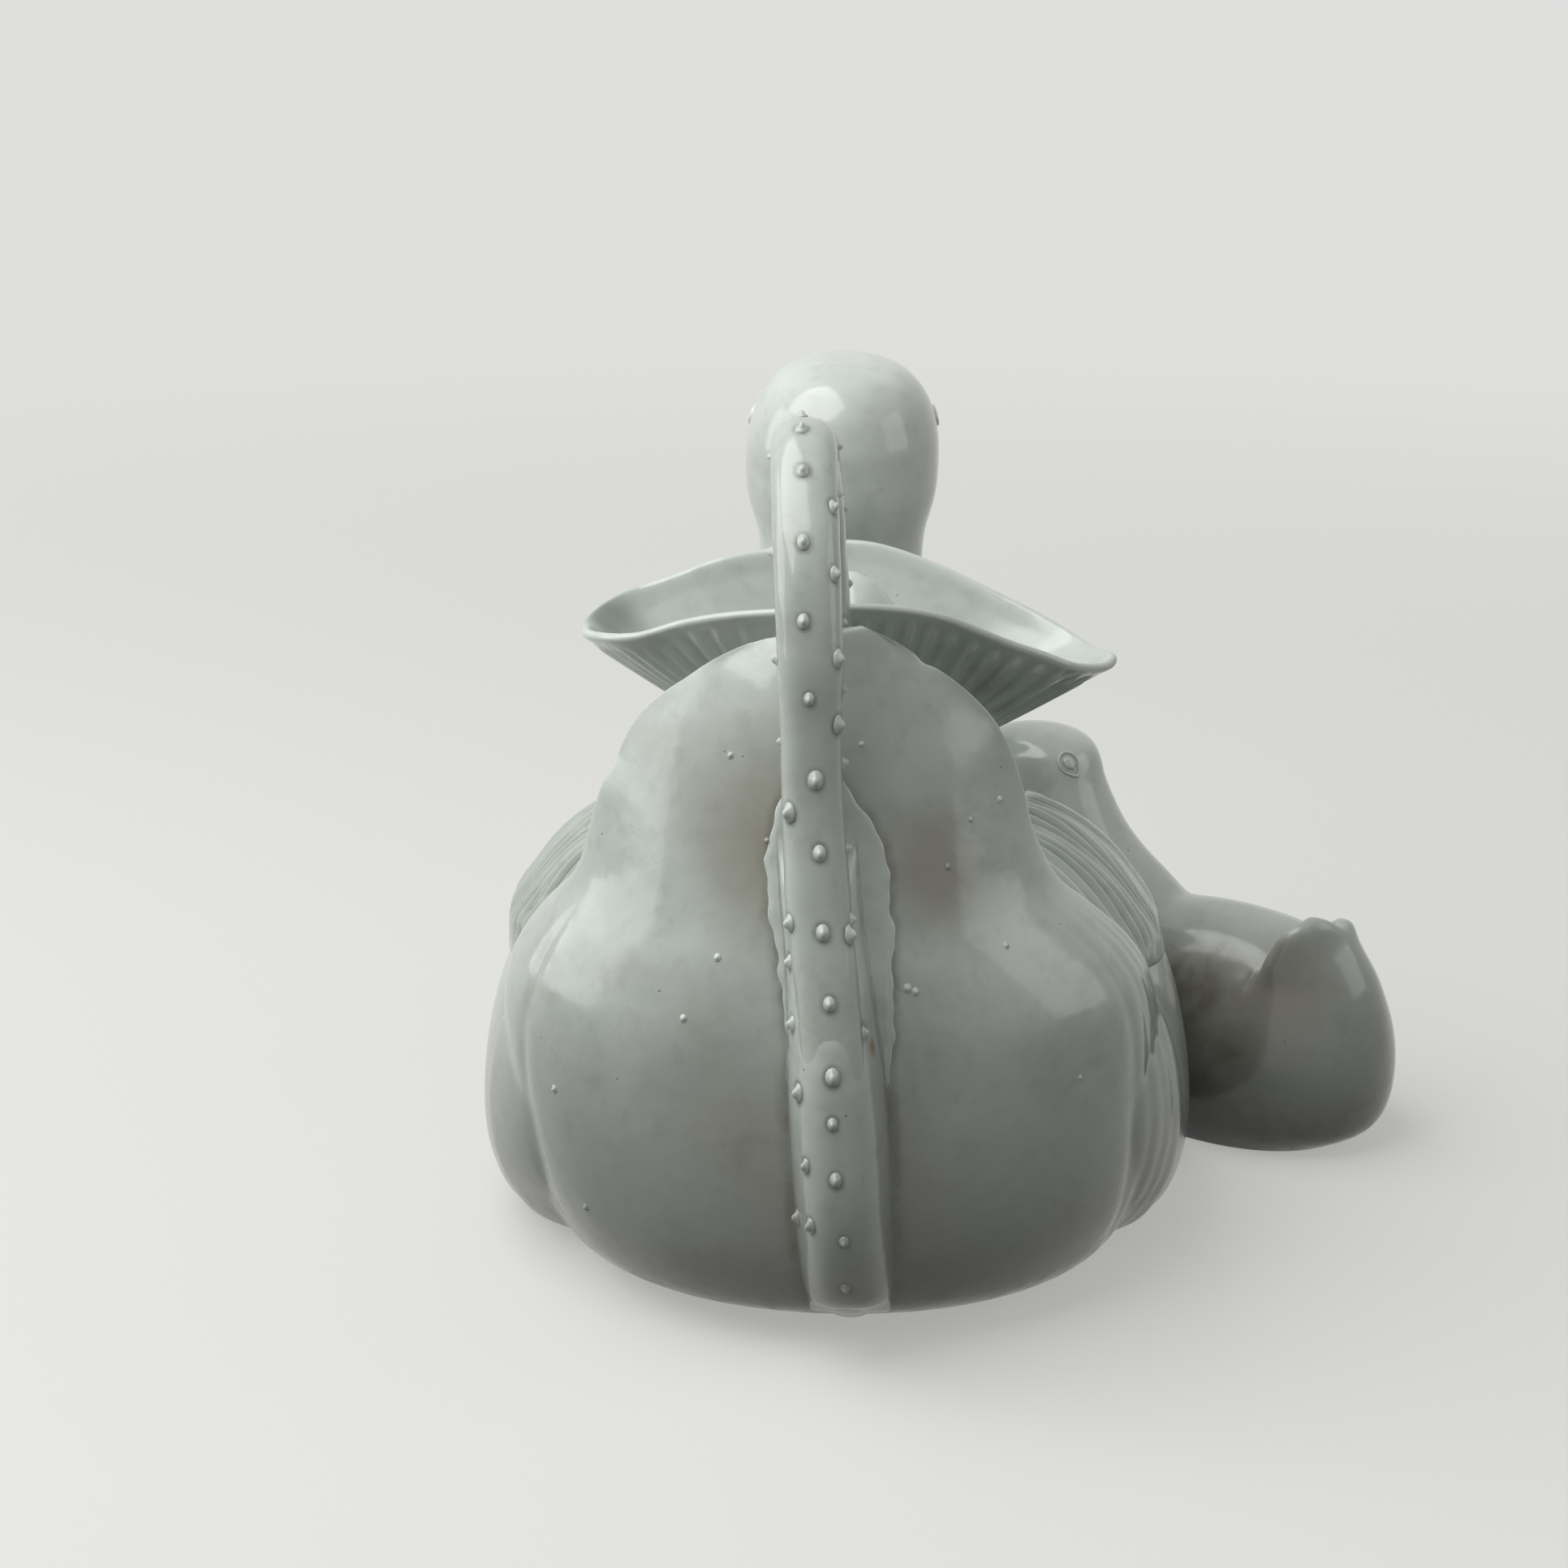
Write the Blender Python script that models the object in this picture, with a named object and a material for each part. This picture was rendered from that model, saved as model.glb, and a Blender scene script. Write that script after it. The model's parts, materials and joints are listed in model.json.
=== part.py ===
"""Porcelain ewer in the shape of a sitting water bird, with a smaller bird at its side.

A lotus leaf on the bird's back is the funnel it is filled through, a prickly lotus stem is its
handle, and it pours through the open bill. Metres, +Z up. The bird looks along +Y, the smaller
bird sits on its +X side, and the origin is on the floor under the body.
"""
import math

import bmesh
import bpy
from mathutils import Matrix, Vector

# Clearances and cutting
JOINT_GAP = 0.0003
CURVED_GAP = 0.0005
OVERRUN = 0.006
SMOOTH_ANGLE = math.radians(42)
MERGE_DISTANCE = 0.00001
FLAT_ANGLE = math.radians(0.05)
SLOPE_STEP_SHARE = 0.003
HALVINGS = 30

# Body of the ewer: reaches are measured from its upright axis
BODY_HEIGHT = 0.119
BODY_HALF_WIDTH = 0.097
BODY_REAR = 0.096
BODY_FRONT = 0.118
BODY_WALL = 0.0045
BODY_BLUNTNESS = 2.2
BODY_SIDES = 34
BODY_RINGS = 12
BODY_INNER_RINGS = 6
# height, half width, rear reach, front reach
BODY_SHARES = (
    (0.00, 0.80, 0.38, 0.62),
    (0.03, 0.905, 0.48, 0.79),
    (0.09, 0.965, 0.60, 0.88),
    (0.22, 1.00, 0.80, 0.96),
    (0.38, 0.995, 0.95, 1.00),
    (0.54, 0.955, 0.99, 0.97),
    (0.68, 0.875, 0.95, 0.88),
    (0.80, 0.765, 0.88, 0.745),
    (0.91, 0.605, 0.76, 0.57),
    (0.97, 0.44, 0.58, 0.43),
    (1.00, 0.22, 0.16, 0.27),
)

# Slab that closes the body underneath
BASE_THICKNESS = 0.005

# Throat between the body and the leaf
THROAT_X = 0.0035
THROAT_Y = 0.013
THROAT_RADIUS = 0.010
COLLAR_HEIGHT = 0.005
COLLAR_WALL = 0.0055
COLLAR_FLARE = 0.002

# Rump and tail fan: one curved shell from the floor to the top of the fan
TAIL_HEIGHT = 0.186
TAIL_HALF_WIDTH = 0.0865
TAIL_REAR = 0.1045
TAIL_EDGE_REAR = 0.060
TAIL_THICKNESS = 0.020
TAIL_LEAN = 0.005
TAIL_ROWS = 16
TAIL_COLUMNS = 14
TAIL_SCALLOP = 0.0010
TAIL_SCALLOPS = 8
TAIL_SCALLOP_START_SHARE = 0.62
TAIL_RIM_SHARE = 0.75
# height, half width, rear reach, edge reach, roundness, middle thickness, edge thickness, lean
TAIL_SHARES = (
    (0.000, 0.785, 0.655, 0.27, 0.0, 1.75, 1.00, 0.35),
    (0.025, 0.855, 0.800, 0.30, 0.0, 1.85, 1.00, 0.35),
    (0.070, 0.910, 0.905, 0.35, 0.0, 1.85, 1.00, 0.30),
    (0.150, 0.965, 0.975, 0.42, 0.0, 1.60, 1.00, 0.2),
    (0.270, 0.995, 1.000, 0.49, 0.0, 1.20, 1.00, 0.0),
    (0.380, 1.000, 0.993, 0.56, 0.0, 1.00, 1.00, -0.1),
    (0.455, 0.970, 0.980, 0.63, 0.0, 1.00, 0.95, -0.2),
    (0.510, 0.910, 0.965, 0.69, 0.1, 0.95, 0.80, -0.4),
    (0.560, 0.820, 0.947, 0.76, 0.2, 0.85, 0.60, -0.7),
    (0.615, 0.710, 0.920, 0.85, 0.4, 0.65, 0.35, -0.9),
    (0.690, 0.645, 0.885, 0.93, 0.6, 0.40, 0.22, -0.95),
    (0.755, 0.610, 0.855, 0.97, 0.8, 0.32, 0.17, -1.0),
    (0.820, 0.555, 0.825, 1.01, 0.9, 0.28, 0.15, -1.0),
    (0.870, 0.485, 0.800, 1.05, 1.0, 0.26, 0.15, -1.0),
    (0.925, 0.360, 0.765, 1.12, 1.0, 0.24, 0.15, -0.8),
    (0.965, 0.225, 0.735, 1.17, 1.0, 0.22, 0.15, -0.5),
    (0.990, 0.090, 0.708, 1.195, 1.0, 0.20, 0.15, -0.2),
)

# Wings folded over the sides and back; places are shares of the body's own surface
WING_LEFT_THICKNESS = 0.0068
WING_RIGHT_THICKNESS = 0.0040
WING_EDGE = 0.0016
WING_GROOVE = 0.0014
WING_GROOVES = 5
WING_SINK = 0.0024
WING_END_SHARE = 0.06
WING_ROWS = 10
WING_COLUMNS = 15
WING_REAR_ANGLE = math.radians(-62)
WING_FRONT_ANGLE = math.radians(43)
# place along the wing, lower edge on the body, upper edge on the body
WING_SHARES = (
    (0.00, 0.740, 0.90),
    (0.25, 0.650, 0.885),
    (0.50, 0.580, 0.840),
    (0.75, 0.555, 0.790),
    (0.92, 0.600, 0.760),
    (1.00, 0.655, 0.705),
)

# Neck: height is measured from the floor, the other shares are of the neck's own sizes
NECK_TOP = 0.172
NECK_Y = 0.090
NECK_X = -0.001
NECK_HALF_WIDTH = 0.0232
NECK_WALL = 0.0042
NECK_SIDES = 22
NECK_RINGS = 6
# height, place along Y, half width, half length
NECK_SHARES = (
    (0.40, 0.73, 1.64, 1.75),
    (0.55, 0.80, 1.46, 1.52),
    (0.70, 0.91, 1.16, 1.18),
    (0.82, 0.97, 1.03, 1.04),
    (0.93, 0.99, 1.00, 1.00),
    (1.00, 1.00, 1.035, 1.06),
)

# Head
HEAD_HEIGHT = 0.048
HEAD_HALF_WIDTH = 0.0278
HEAD_HALF_LENGTH = 0.033
HEAD_LEAD = 0.005
HEAD_WALL = 0.0045
HEAD_RINGS = 8
HEAD_INNER_RINGS = 4
HEAD_HOLLOW_SHARE = 0.70
# height above the neck, half width, half length, lead of the middle towards the bill
HEAD_SHARES = (
    (0.000, 0.885, 0.770, 0.0),
    (0.180, 0.965, 0.885, 0.4),
    (0.370, 1.000, 0.970, 0.8),
    (0.560, 0.975, 1.000, 1.0),
    (0.760, 0.860, 0.900, 0.9),
    (0.910, 0.640, 0.690, 0.8),
    (0.985, 0.320, 0.360, 0.8),
    (1.000, 0.080, 0.090, 0.8),
)

# Bill, open at the tip so that the ewer pours through it
BILL_LENGTH = 0.039
BILL_HALF_WIDTH = 0.0145
BILL_UPPER_RISE = 0.0155
BILL_LOWER_DROP = 0.0095
BILL_WALL = 0.0028
BILL_LIP_SHARE = 0.5
BILL_MOUTH_SHARE = 0.38
BILL_SIDES = 10
BILL_ROWS = 7
BILL_DROOP = 0.005
# place along the bill, half width, rise of the upper half, drop of the lower half
BILL_SHARES = (
    (0.00, 1.00, 1.00, 1.00),
    (0.44, 1.00, 1.00, 1.00),
    (0.60, 0.90, 0.76, 0.88),
    (0.78, 0.93, 0.54, 0.72),
    (0.92, 1.00, 0.44, 0.60),
    (1.00, 0.84, 0.37, 0.52),
)

# Eyes: small pellets pressed on
EYE_RADIUS = 0.0042
EYE_BULGE = 0.0016
EYE_SIDES = 8
EYE_HEIGHT_SHARE = 0.58
EYE_ANGLE = math.radians(14)
# lift from the head's surface, radius
EYE_SHARES = (
    (-1.20, 1.00),
    (0.25, 1.00),
    (0.80, 0.72),
    (1.00, 0.30),
)

# Lotus leaf funnel
LEAF_X = 0.0025
LEAF_HALF_WIDTH = 0.0715
LEAF_HALF_DEPTH = 0.034
LEAF_RIM_HEIGHT = 0.175
LEAF_WALL = 0.0032
LEAF_RIM_WALL = 0.0020
LEAF_BOWL = 1.12
LEAF_SIDES = 36
LEAF_ROWS = 5
LEAF_WAVE = 0.0007
LEAF_WAVES = 9
# place across the leaf from its left end to its tip, height of the rim above the throat
LEAF_RIM_SHARES = (
    (-1.00, 0.700),
    (-0.80, 0.805),
    (-0.50, 0.925),
    (-0.20, 0.985),
    (0.05, 1.000),
    (0.35, 0.895),
    (0.62, 0.735),
    (0.85, 0.590),
    (1.00, 0.545),
)

# Bud that stops the throat
BUD_HEIGHT = 0.049
BUD_RADIUS = 0.016
BUD_PLUG_LENGTH = 0.014
BUD_PLUG_CHAMFER = 0.0014
BUD_PLUG_CLEARANCE = 0.0005
BUD_SIDES = 20
# height above the throat, radius
BUD_SHARES = (
    (0.00, 0.610),
    (0.07, 0.700),
    (0.16, 0.800),
    (0.30, 0.930),
    (0.45, 1.000),
    (0.60, 0.975),
    (0.74, 0.820),
    (0.84, 0.620),
    (0.91, 0.455),
    (0.965, 0.270),
    (1.00, 0.040),
)

# Handle: a lotus stem from the foot of the rump over the fan to the leaf
HANDLE_RADIUS = 0.0080
HANDLE_DEPTH_SHARE = 0.94
HANDLE_TOP = 0.2275
HANDLE_REAR = 0.1145
HANDLE_LEAN = 0.0074
HANDLE_SIDES = 12
HANDLE_RINGS = 38
# lean, rear reach, height, thickness
HANDLE_SHARES = (
    (0.74, 0.600, 0.013, 0.80),
    (0.74, 0.785, 0.063, 0.88),
    (0.66, 0.925, 0.118, 0.97),
    (0.52, 0.998, 0.205, 1.00),
    (0.32, 0.990, 0.310, 1.00),
    (0.04, 0.955, 0.430, 1.00),
    (-0.34, 0.905, 0.540, 1.00),
    (-0.54, 0.872, 0.640, 0.97),
    (-0.62, 0.858, 0.730, 0.95),
    (-0.68, 0.846, 0.820, 1.00),
    (-0.82, 0.765, 0.920, 1.02),
    (-1.00, 0.545, 1.000, 1.03),
    (-0.86, 0.330, 0.930, 1.00),
    (-0.66, 0.278, 0.830, 0.98),
    (-0.50, 0.266, 0.745, 0.96),
    (-0.42, 0.208, 0.668, 0.94),
    (-0.36, 0.045, 0.625, 0.92),
)

# Prickles on the stem
PRICKLE_RADIUS = 0.0019
PRICKLE_HEIGHT = 0.0021
PRICKLE_SIDES = 5
# turn around the stem from its outer side, first and last place along it, number
PRICKLE_SHARES = (
    (0.000, 0.035, 0.960, 22),
    (0.190, 0.140, 0.930, 14),
    (-0.190, 0.155, 0.945, 13),
    (0.360, 0.480, 0.900, 6),
    (-0.360, 0.500, 0.920, 6),
)

# Strip of slip that beds the stem on the rump
SEAT_HALF_WIDTH = 0.0145
SEAT_HALF_DEPTH = 0.0085
SEAT_SIDES = 12
SEAT_RINGS = 9
SEAT_LAST_SHARE = 0.375
SEAT_FADE_SHARE = 0.45
SEAT_FOOT_SHARE = 0.40
SEAT_FOOT_END_SHARE = 0.14

# Smaller bird, modelled upright looking along +Y and then turned into its place
DUCK_FLANK_SHARE = 0.86
DUCK_ASIDE = 0.0286
DUCK_X = BODY_HALF_WIDTH * DUCK_FLANK_SHARE + DUCK_ASIDE
DUCK_Y = 0.066
DUCK_HEADING = math.radians(55)
DUCK_HEIGHT = 0.064
DUCK_HALF_WIDTH = 0.031
DUCK_REAR = 0.048
DUCK_FRONT = 0.054
DUCK_WALL = 0.005
DUCK_SIDES = 22
DUCK_RINGS = 9
DUCK_INNER_RINGS = 3
DUCK_HOLLOW_SHARE = 0.80
# height, half width, rear reach, front reach
DUCK_SHARES = (
    (0.00, 0.78, 0.74, 0.66),
    (0.08, 0.91, 0.90, 0.84),
    (0.24, 1.00, 0.99, 0.97),
    (0.45, 0.99, 1.00, 1.00),
    (0.64, 0.91, 0.96, 0.94),
    (0.80, 0.76, 0.86, 0.80),
    (0.92, 0.52, 0.66, 0.56),
    (0.985, 0.26, 0.38, 0.28),
    (1.00, 0.06, 0.08, 0.06),
)

DUCK_TAIL_HEIGHT = 0.0685
DUCK_TAIL_HALF_WIDTH = 0.0315
DUCK_TAIL_REAR = 0.0545
DUCK_TAIL_EDGE_REAR = 0.026
DUCK_TAIL_THICKNESS = 0.013
DUCK_TAIL_ROWS = 10
DUCK_TAIL_COLUMNS = 10
DUCK_TAIL_SCALLOP = 0.0007
DUCK_TAIL_LEAN = 0.002
# height, half width, rear reach, edge reach, roundness, middle thickness, edge thickness, lean
DUCK_TAIL_SHARES = (
    (0.00, 0.76, 0.730, 0.25, 0.0, 1.00, 1.00, 0.0),
    (0.05, 0.87, 0.880, 0.35, 0.0, 1.00, 1.00, 0.0),
    (0.14, 0.95, 0.970, 0.42, 0.0, 1.00, 1.00, 0.0),
    (0.30, 1.00, 1.000, 0.50, 0.0, 1.00, 1.00, 0.0),
    (0.48, 0.99, 0.985, 0.58, 0.0, 1.00, 1.00, 0.0),
    (0.64, 0.87, 0.935, 0.74, 0.1, 1.00, 0.90, -0.3),
    (0.77, 0.70, 0.870, 0.92, 0.3, 0.90, 0.60, -0.7),
    (0.87, 0.57, 0.810, 1.06, 0.6, 0.60, 0.35, -1.1),
    (0.94, 0.47, 0.775, 1.15, 0.9, 0.38, 0.26, -1.4),
    (0.98, 0.34, 0.760, 1.23, 1.0, 0.30, 0.24, -1.5),
    (1.00, 0.19, 0.750, 1.29, 1.0, 0.28, 0.24, -1.5),
)

DUCK_WING_THICKNESS = 0.0034
DUCK_WING_EDGE = 0.0011
DUCK_WING_GROOVE = 0.0008
DUCK_WING_GROOVES = 4
DUCK_WING_ROWS = 8
DUCK_WING_COLUMNS = 12
DUCK_WING_REAR_ANGLE = math.radians(-58)
DUCK_WING_FRONT_ANGLE = math.radians(34)
# place along the wing, lower edge on the body, upper edge on the body
DUCK_WING_SHARES = (
    (0.00, 0.560, 0.74),
    (0.30, 0.500, 0.80),
    (0.65, 0.470, 0.80),
    (0.90, 0.520, 0.74),
    (1.00, 0.580, 0.68),
)

DUCK_NECK_HEIGHT = 0.0825
DUCK_NECK_REACH = 0.0634
DUCK_NECK_HALF_WIDTH = 0.0158
DUCK_NECK_SIDES = 18
DUCK_NECK_RINGS = 7
# height, reach towards the breast, half width, half length
DUCK_NECK_SHARES = (
    (0.38, 0.47, 1.70, 1.80),
    (0.58, 0.59, 1.56, 1.86),
    (0.73, 0.71, 1.44, 1.80),
    (0.83, 0.84, 1.28, 1.54),
    (0.92, 0.94, 1.18, 1.36),
    (1.00, 0.99, 1.09, 1.22),
)

DUCK_HEAD_HEIGHT = 0.0245
DUCK_HEAD_HALF_WIDTH = 0.0178
DUCK_HEAD_HALF_LENGTH = 0.0200
DUCK_HEAD_LEAD = 0.0030
DUCK_HEAD_RINGS = 7
DUCK_HEAD_TURN = math.radians(10)

DUCK_BILL_LENGTH = 0.0165
DUCK_BILL_HALF_WIDTH = 0.0065
DUCK_BILL_UPPER_RISE = 0.0046
DUCK_BILL_LOWER_DROP = 0.0034
DUCK_BILL_DROOP = 0.0020
DUCK_BILL_INSET = 0.0003
DUCK_EYE_RADIUS = 0.0030
DUCK_EYE_BULGE = 0.0010
DUCK_EYE_ANGLE = math.radians(-20)

# Finishes
GLAZE_COLOUR = (0.74, 0.77, 0.74, 1.0)
GLAZE_ROUGHNESS = 0.12
BISCUIT_COLOUR = (0.72, 0.67, 0.58, 1.0)
BISCUIT_ROUGHNESS = 0.75


def clear_scene():
    for item in list(bpy.data.objects):
        bpy.data.objects.remove(item, do_unlink=True)


def make_material(name, colour, roughness):
    material = bpy.data.materials.new(name)
    material.use_nodes = True
    shader = material.node_tree.nodes["Principled BSDF"]
    shader.inputs["Base Color"].default_value = colour
    shader.inputs["Roughness"].default_value = roughness
    shader.inputs["Metallic"].default_value = 0.0
    return material


def blend(first, second, share):
    return first + (second - first) * share


def smooth_row(table, share):
    """Row of a table at a share of the way through it, on a smooth curve through its rows."""
    last = len(table) - 1
    place = min(max(share, 0.0), 1.0) * last
    index = min(int(place), last - 1)
    t = place - index
    before = table[max(index - 1, 0)]
    start = table[index]
    end = table[index + 1]
    after = table[min(index + 2, last)]
    values = []
    for a, b, c, d in zip(before, start, end, after):
        tangent_in = (c - a) / 2
        tangent_out = (d - b) / 2
        cube = 2 * b - 2 * c + tangent_in + tangent_out
        square = 3 * c - 3 * b - 2 * tangent_in - tangent_out
        values.append(((cube * t + square) * t + tangent_in) * t + b)
    return values


def row_where(table, key):
    """Row of a table whose first value is key; the first values only rise."""
    low = 0.0
    high = 1.0
    for _ in range(HALVINGS):
        middle = (low + high) / 2
        if smooth_row(table, middle)[0] < key:
            low = middle
        else:
            high = middle
    return smooth_row(table, (low + high) / 2)


def power(value, exponent):
    return math.copysign(abs(value) ** exponent, value)


def surface_normal(point, u, v):
    """Outward direction of a surface given as point(u, v); u climbs and v turns."""
    step = SLOPE_STEP_SHARE
    along = point(min(u + step, 1.0), v) - point(max(u - step, 0.0), v)
    across = point(u, v + step) - point(u, v - step)
    return across.cross(along).normalized()


def add_quad(mesh_data, a, b, c, d):
    """Two triangles split the same way each time, so that grown copies keep the same facets."""
    mesh_data.faces.new((a, b, c))
    mesh_data.faces.new((a, c, d))


def loft(name, rings, wrap=False, cap="fan"):
    """Closed mesh through rings of equal count. Ends are capped, or joined when wrap is set."""
    mesh_data = bmesh.new()
    rows = [[mesh_data.verts.new(point) for point in ring] for ring in rings]
    count = len(rows[0])
    pairs = list(zip(rows, rows[1:]))
    if wrap:
        pairs.append((rows[-1], rows[0]))
    for lower, upper in pairs:
        for i in range(count):
            j = (i + 1) % count
            add_quad(mesh_data, lower[i], lower[j], upper[j], upper[i])
    if not wrap:
        for ring in (rows[0], rows[-1]):
            if cap == "fan":
                centre = sum((vertex.co for vertex in ring), Vector()) / count
                hub = mesh_data.verts.new(centre)
                for i in range(count):
                    mesh_data.faces.new((ring[i], ring[(i + 1) % count], hub))
            else:
                half = count // 2
                for i in range(half - 1):
                    opposite = count - 1 - i
                    add_quad(mesh_data, ring[i], ring[i + 1], ring[opposite - 1], ring[opposite])
    return finish_mesh(name, mesh_data)


def finish_mesh(name, mesh_data):
    bmesh.ops.recalc_face_normals(mesh_data, faces=mesh_data.faces)
    if mesh_data.calc_volume(signed=True) < 0:
        bmesh.ops.reverse_faces(mesh_data, faces=mesh_data.faces)
    mesh = bpy.data.meshes.new(name)
    mesh_data.to_mesh(mesh)
    mesh_data.free()
    piece = bpy.data.objects.new(name, mesh)
    bpy.context.scene.collection.objects.link(piece)
    return piece


def combine(piece, others, operation):
    """Cut the others from the piece, or join them to it, and drop them."""
    for other in others:
        step = piece.modifiers.new(operation.lower(), "BOOLEAN")
        step.operation = operation
        step.solver = "EXACT"
        step.object = other
    bpy.context.view_layer.update()
    depsgraph = bpy.context.evaluated_depsgraph_get()
    result = bpy.data.meshes.new_from_object(piece.evaluated_get(depsgraph))
    piece.modifiers.clear()
    piece.data = result
    for other in others:
        bpy.data.objects.remove(other, do_unlink=True)
    cleaned = bmesh.new()
    cleaned.from_mesh(result)
    bmesh.ops.remove_doubles(cleaned, verts=cleaned.verts, dist=MERGE_DISTANCE)
    bmesh.ops.dissolve_degenerate(cleaned, dist=MERGE_DISTANCE, edges=cleaned.edges)
    bmesh.ops.dissolve_limit(cleaned, angle_limit=FLAT_ANGLE, verts=cleaned.verts, edges=cleaned.edges)
    cleaned.to_mesh(result)
    cleaned.free()
    return piece


def cut(piece, *cutters):
    return combine(piece, cutters, "DIFFERENCE")


def join(piece, *others):
    return combine(piece, others, "UNION")


def place(piece, matrix):
    piece.data.transform(matrix)
    return piece


def dress(piece, material):
    piece.data.materials.clear()
    piece.data.materials.append(material)
    piece.data.shade_smooth()
    piece.data.set_sharp_from_angle(angle=SMOOTH_ANGLE)
    return piece


def oval(centre, half_width, half_length, sides, bluntness=2.0):
    """Ring of points in a level plane."""
    points = []
    for i in range(sides):
        turn = math.tau * i / sides
        x = half_width * power(math.cos(turn), 2 / bluntness)
        y = half_length * power(math.sin(turn), 2 / bluntness)
        points.append(centre + Vector((x, y, 0.0)))
    return points


class Egg:
    """Round-bellied body: level oval sections with a rear and a front reach of their own."""

    def __init__(self, table, height, half_width, rear, front):
        self.table = table
        self.height = height
        self.half_width = half_width
        self.rear = rear
        self.front = front

    def point(self, share, turn, grow=0.0):
        """turn is the angle from +X towards +Y."""
        level, width, rear, front = smooth_row(self.table, share)
        across = self.half_width * width + grow
        reach = self.front * front if math.sin(turn) > 0 else self.rear * rear
        reach += grow
        exponent = 2 / BODY_BLUNTNESS
        x = across * power(math.cos(turn), exponent)
        y = reach * power(math.sin(turn), exponent)
        return Vector((x, y, self.height * level))

    def normal(self, share, turn):
        return surface_normal(self.point, share, turn)

    def ring(self, share, sides, grow=0.0):
        return [self.point(share, math.tau * i / sides, grow) for i in range(sides)]

    def solid(self, name, rings, sides, grow, top):
        """Filled form under a top ring, larger all round by grow, for cutting neighbours."""
        rows = [[point - Vector((0.0, 0.0, OVERRUN)) for point in self.ring(0.0, sides, grow)]]
        for i in range(rings):
            lift = Vector((0.0, 0.0, grow * i / rings))
            rows.append([point + lift for point in self.ring(i / rings, sides, grow)])
        rows.append(top)
        return loft(name, rows)


EWER_EGG = Egg(BODY_SHARES, BODY_HEIGHT, BODY_HALF_WIDTH, BODY_REAR, BODY_FRONT)
DUCK_EGG = Egg(DUCK_SHARES, DUCK_HEIGHT, DUCK_HALF_WIDTH, DUCK_REAR, DUCK_FRONT)
DUCK_PLACE = Matrix.Translation((DUCK_X, DUCK_Y, 0.0)) @ Matrix.Rotation(DUCK_HEADING, 4, "Z")
THROAT_AXIS = Vector((THROAT_X, THROAT_Y, 0.0))


def throat_ring(radius, height, sides):
    return oval(THROAT_AXIS + Vector((0.0, 0.0, height)), radius, radius, sides)


def make_body_shell():
    """Hollow body, open underneath for the slab and on top for the throat."""
    outer = [EWER_EGG.ring(i / BODY_RINGS, BODY_SIDES) for i in range(BODY_RINGS)]
    outer.append(throat_ring(THROAT_RADIUS + COLLAR_WALL, BODY_HEIGHT, BODY_SIDES))
    inner = []
    lift = (BODY_HEIGHT - BODY_WALL) / BODY_HEIGHT
    for i in range(BODY_INNER_RINGS):
        ring = EWER_EGG.ring(i / BODY_INNER_RINGS, BODY_SIDES, -BODY_WALL)
        inner.append([Vector((point.x, point.y, point.z * lift)) for point in ring])
    inner.append(throat_ring(THROAT_RADIUS, BODY_HEIGHT - BODY_WALL, BODY_SIDES))
    inner.append(throat_ring(THROAT_RADIUS, BODY_HEIGHT, BODY_SIDES))
    body = loft("body_shell", outer + inner[::-1], wrap=True)
    return cut(body, neck_form("neck_bore", -NECK_WALL, NECK_SHARES[0][0], BODY_HEIGHT + OVERRUN))


def make_base_slab():
    inset = BODY_WALL + JOINT_GAP
    ring = EWER_EGG.ring(0.0, BODY_SIDES, -inset)
    top = [point + Vector((0.0, 0.0, BASE_THICKNESS)) for point in ring]
    return loft("base_slab", [ring, top])


def make_throat_collar():
    bottom = BODY_HEIGHT + JOINT_GAP
    top = bottom + COLLAR_HEIGHT
    outer = THROAT_RADIUS + COLLAR_WALL
    rings = [
        throat_ring(THROAT_RADIUS, bottom, BUD_SIDES),
        throat_ring(outer + COLLAR_FLARE, bottom, BUD_SIDES),
        throat_ring(outer, (bottom + top) / 2, BUD_SIDES),
        throat_ring(outer, top, BUD_SIDES),
        throat_ring(THROAT_RADIUS, top, BUD_SIDES),
    ]
    return loft("throat_collar", rings, wrap=True)


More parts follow.
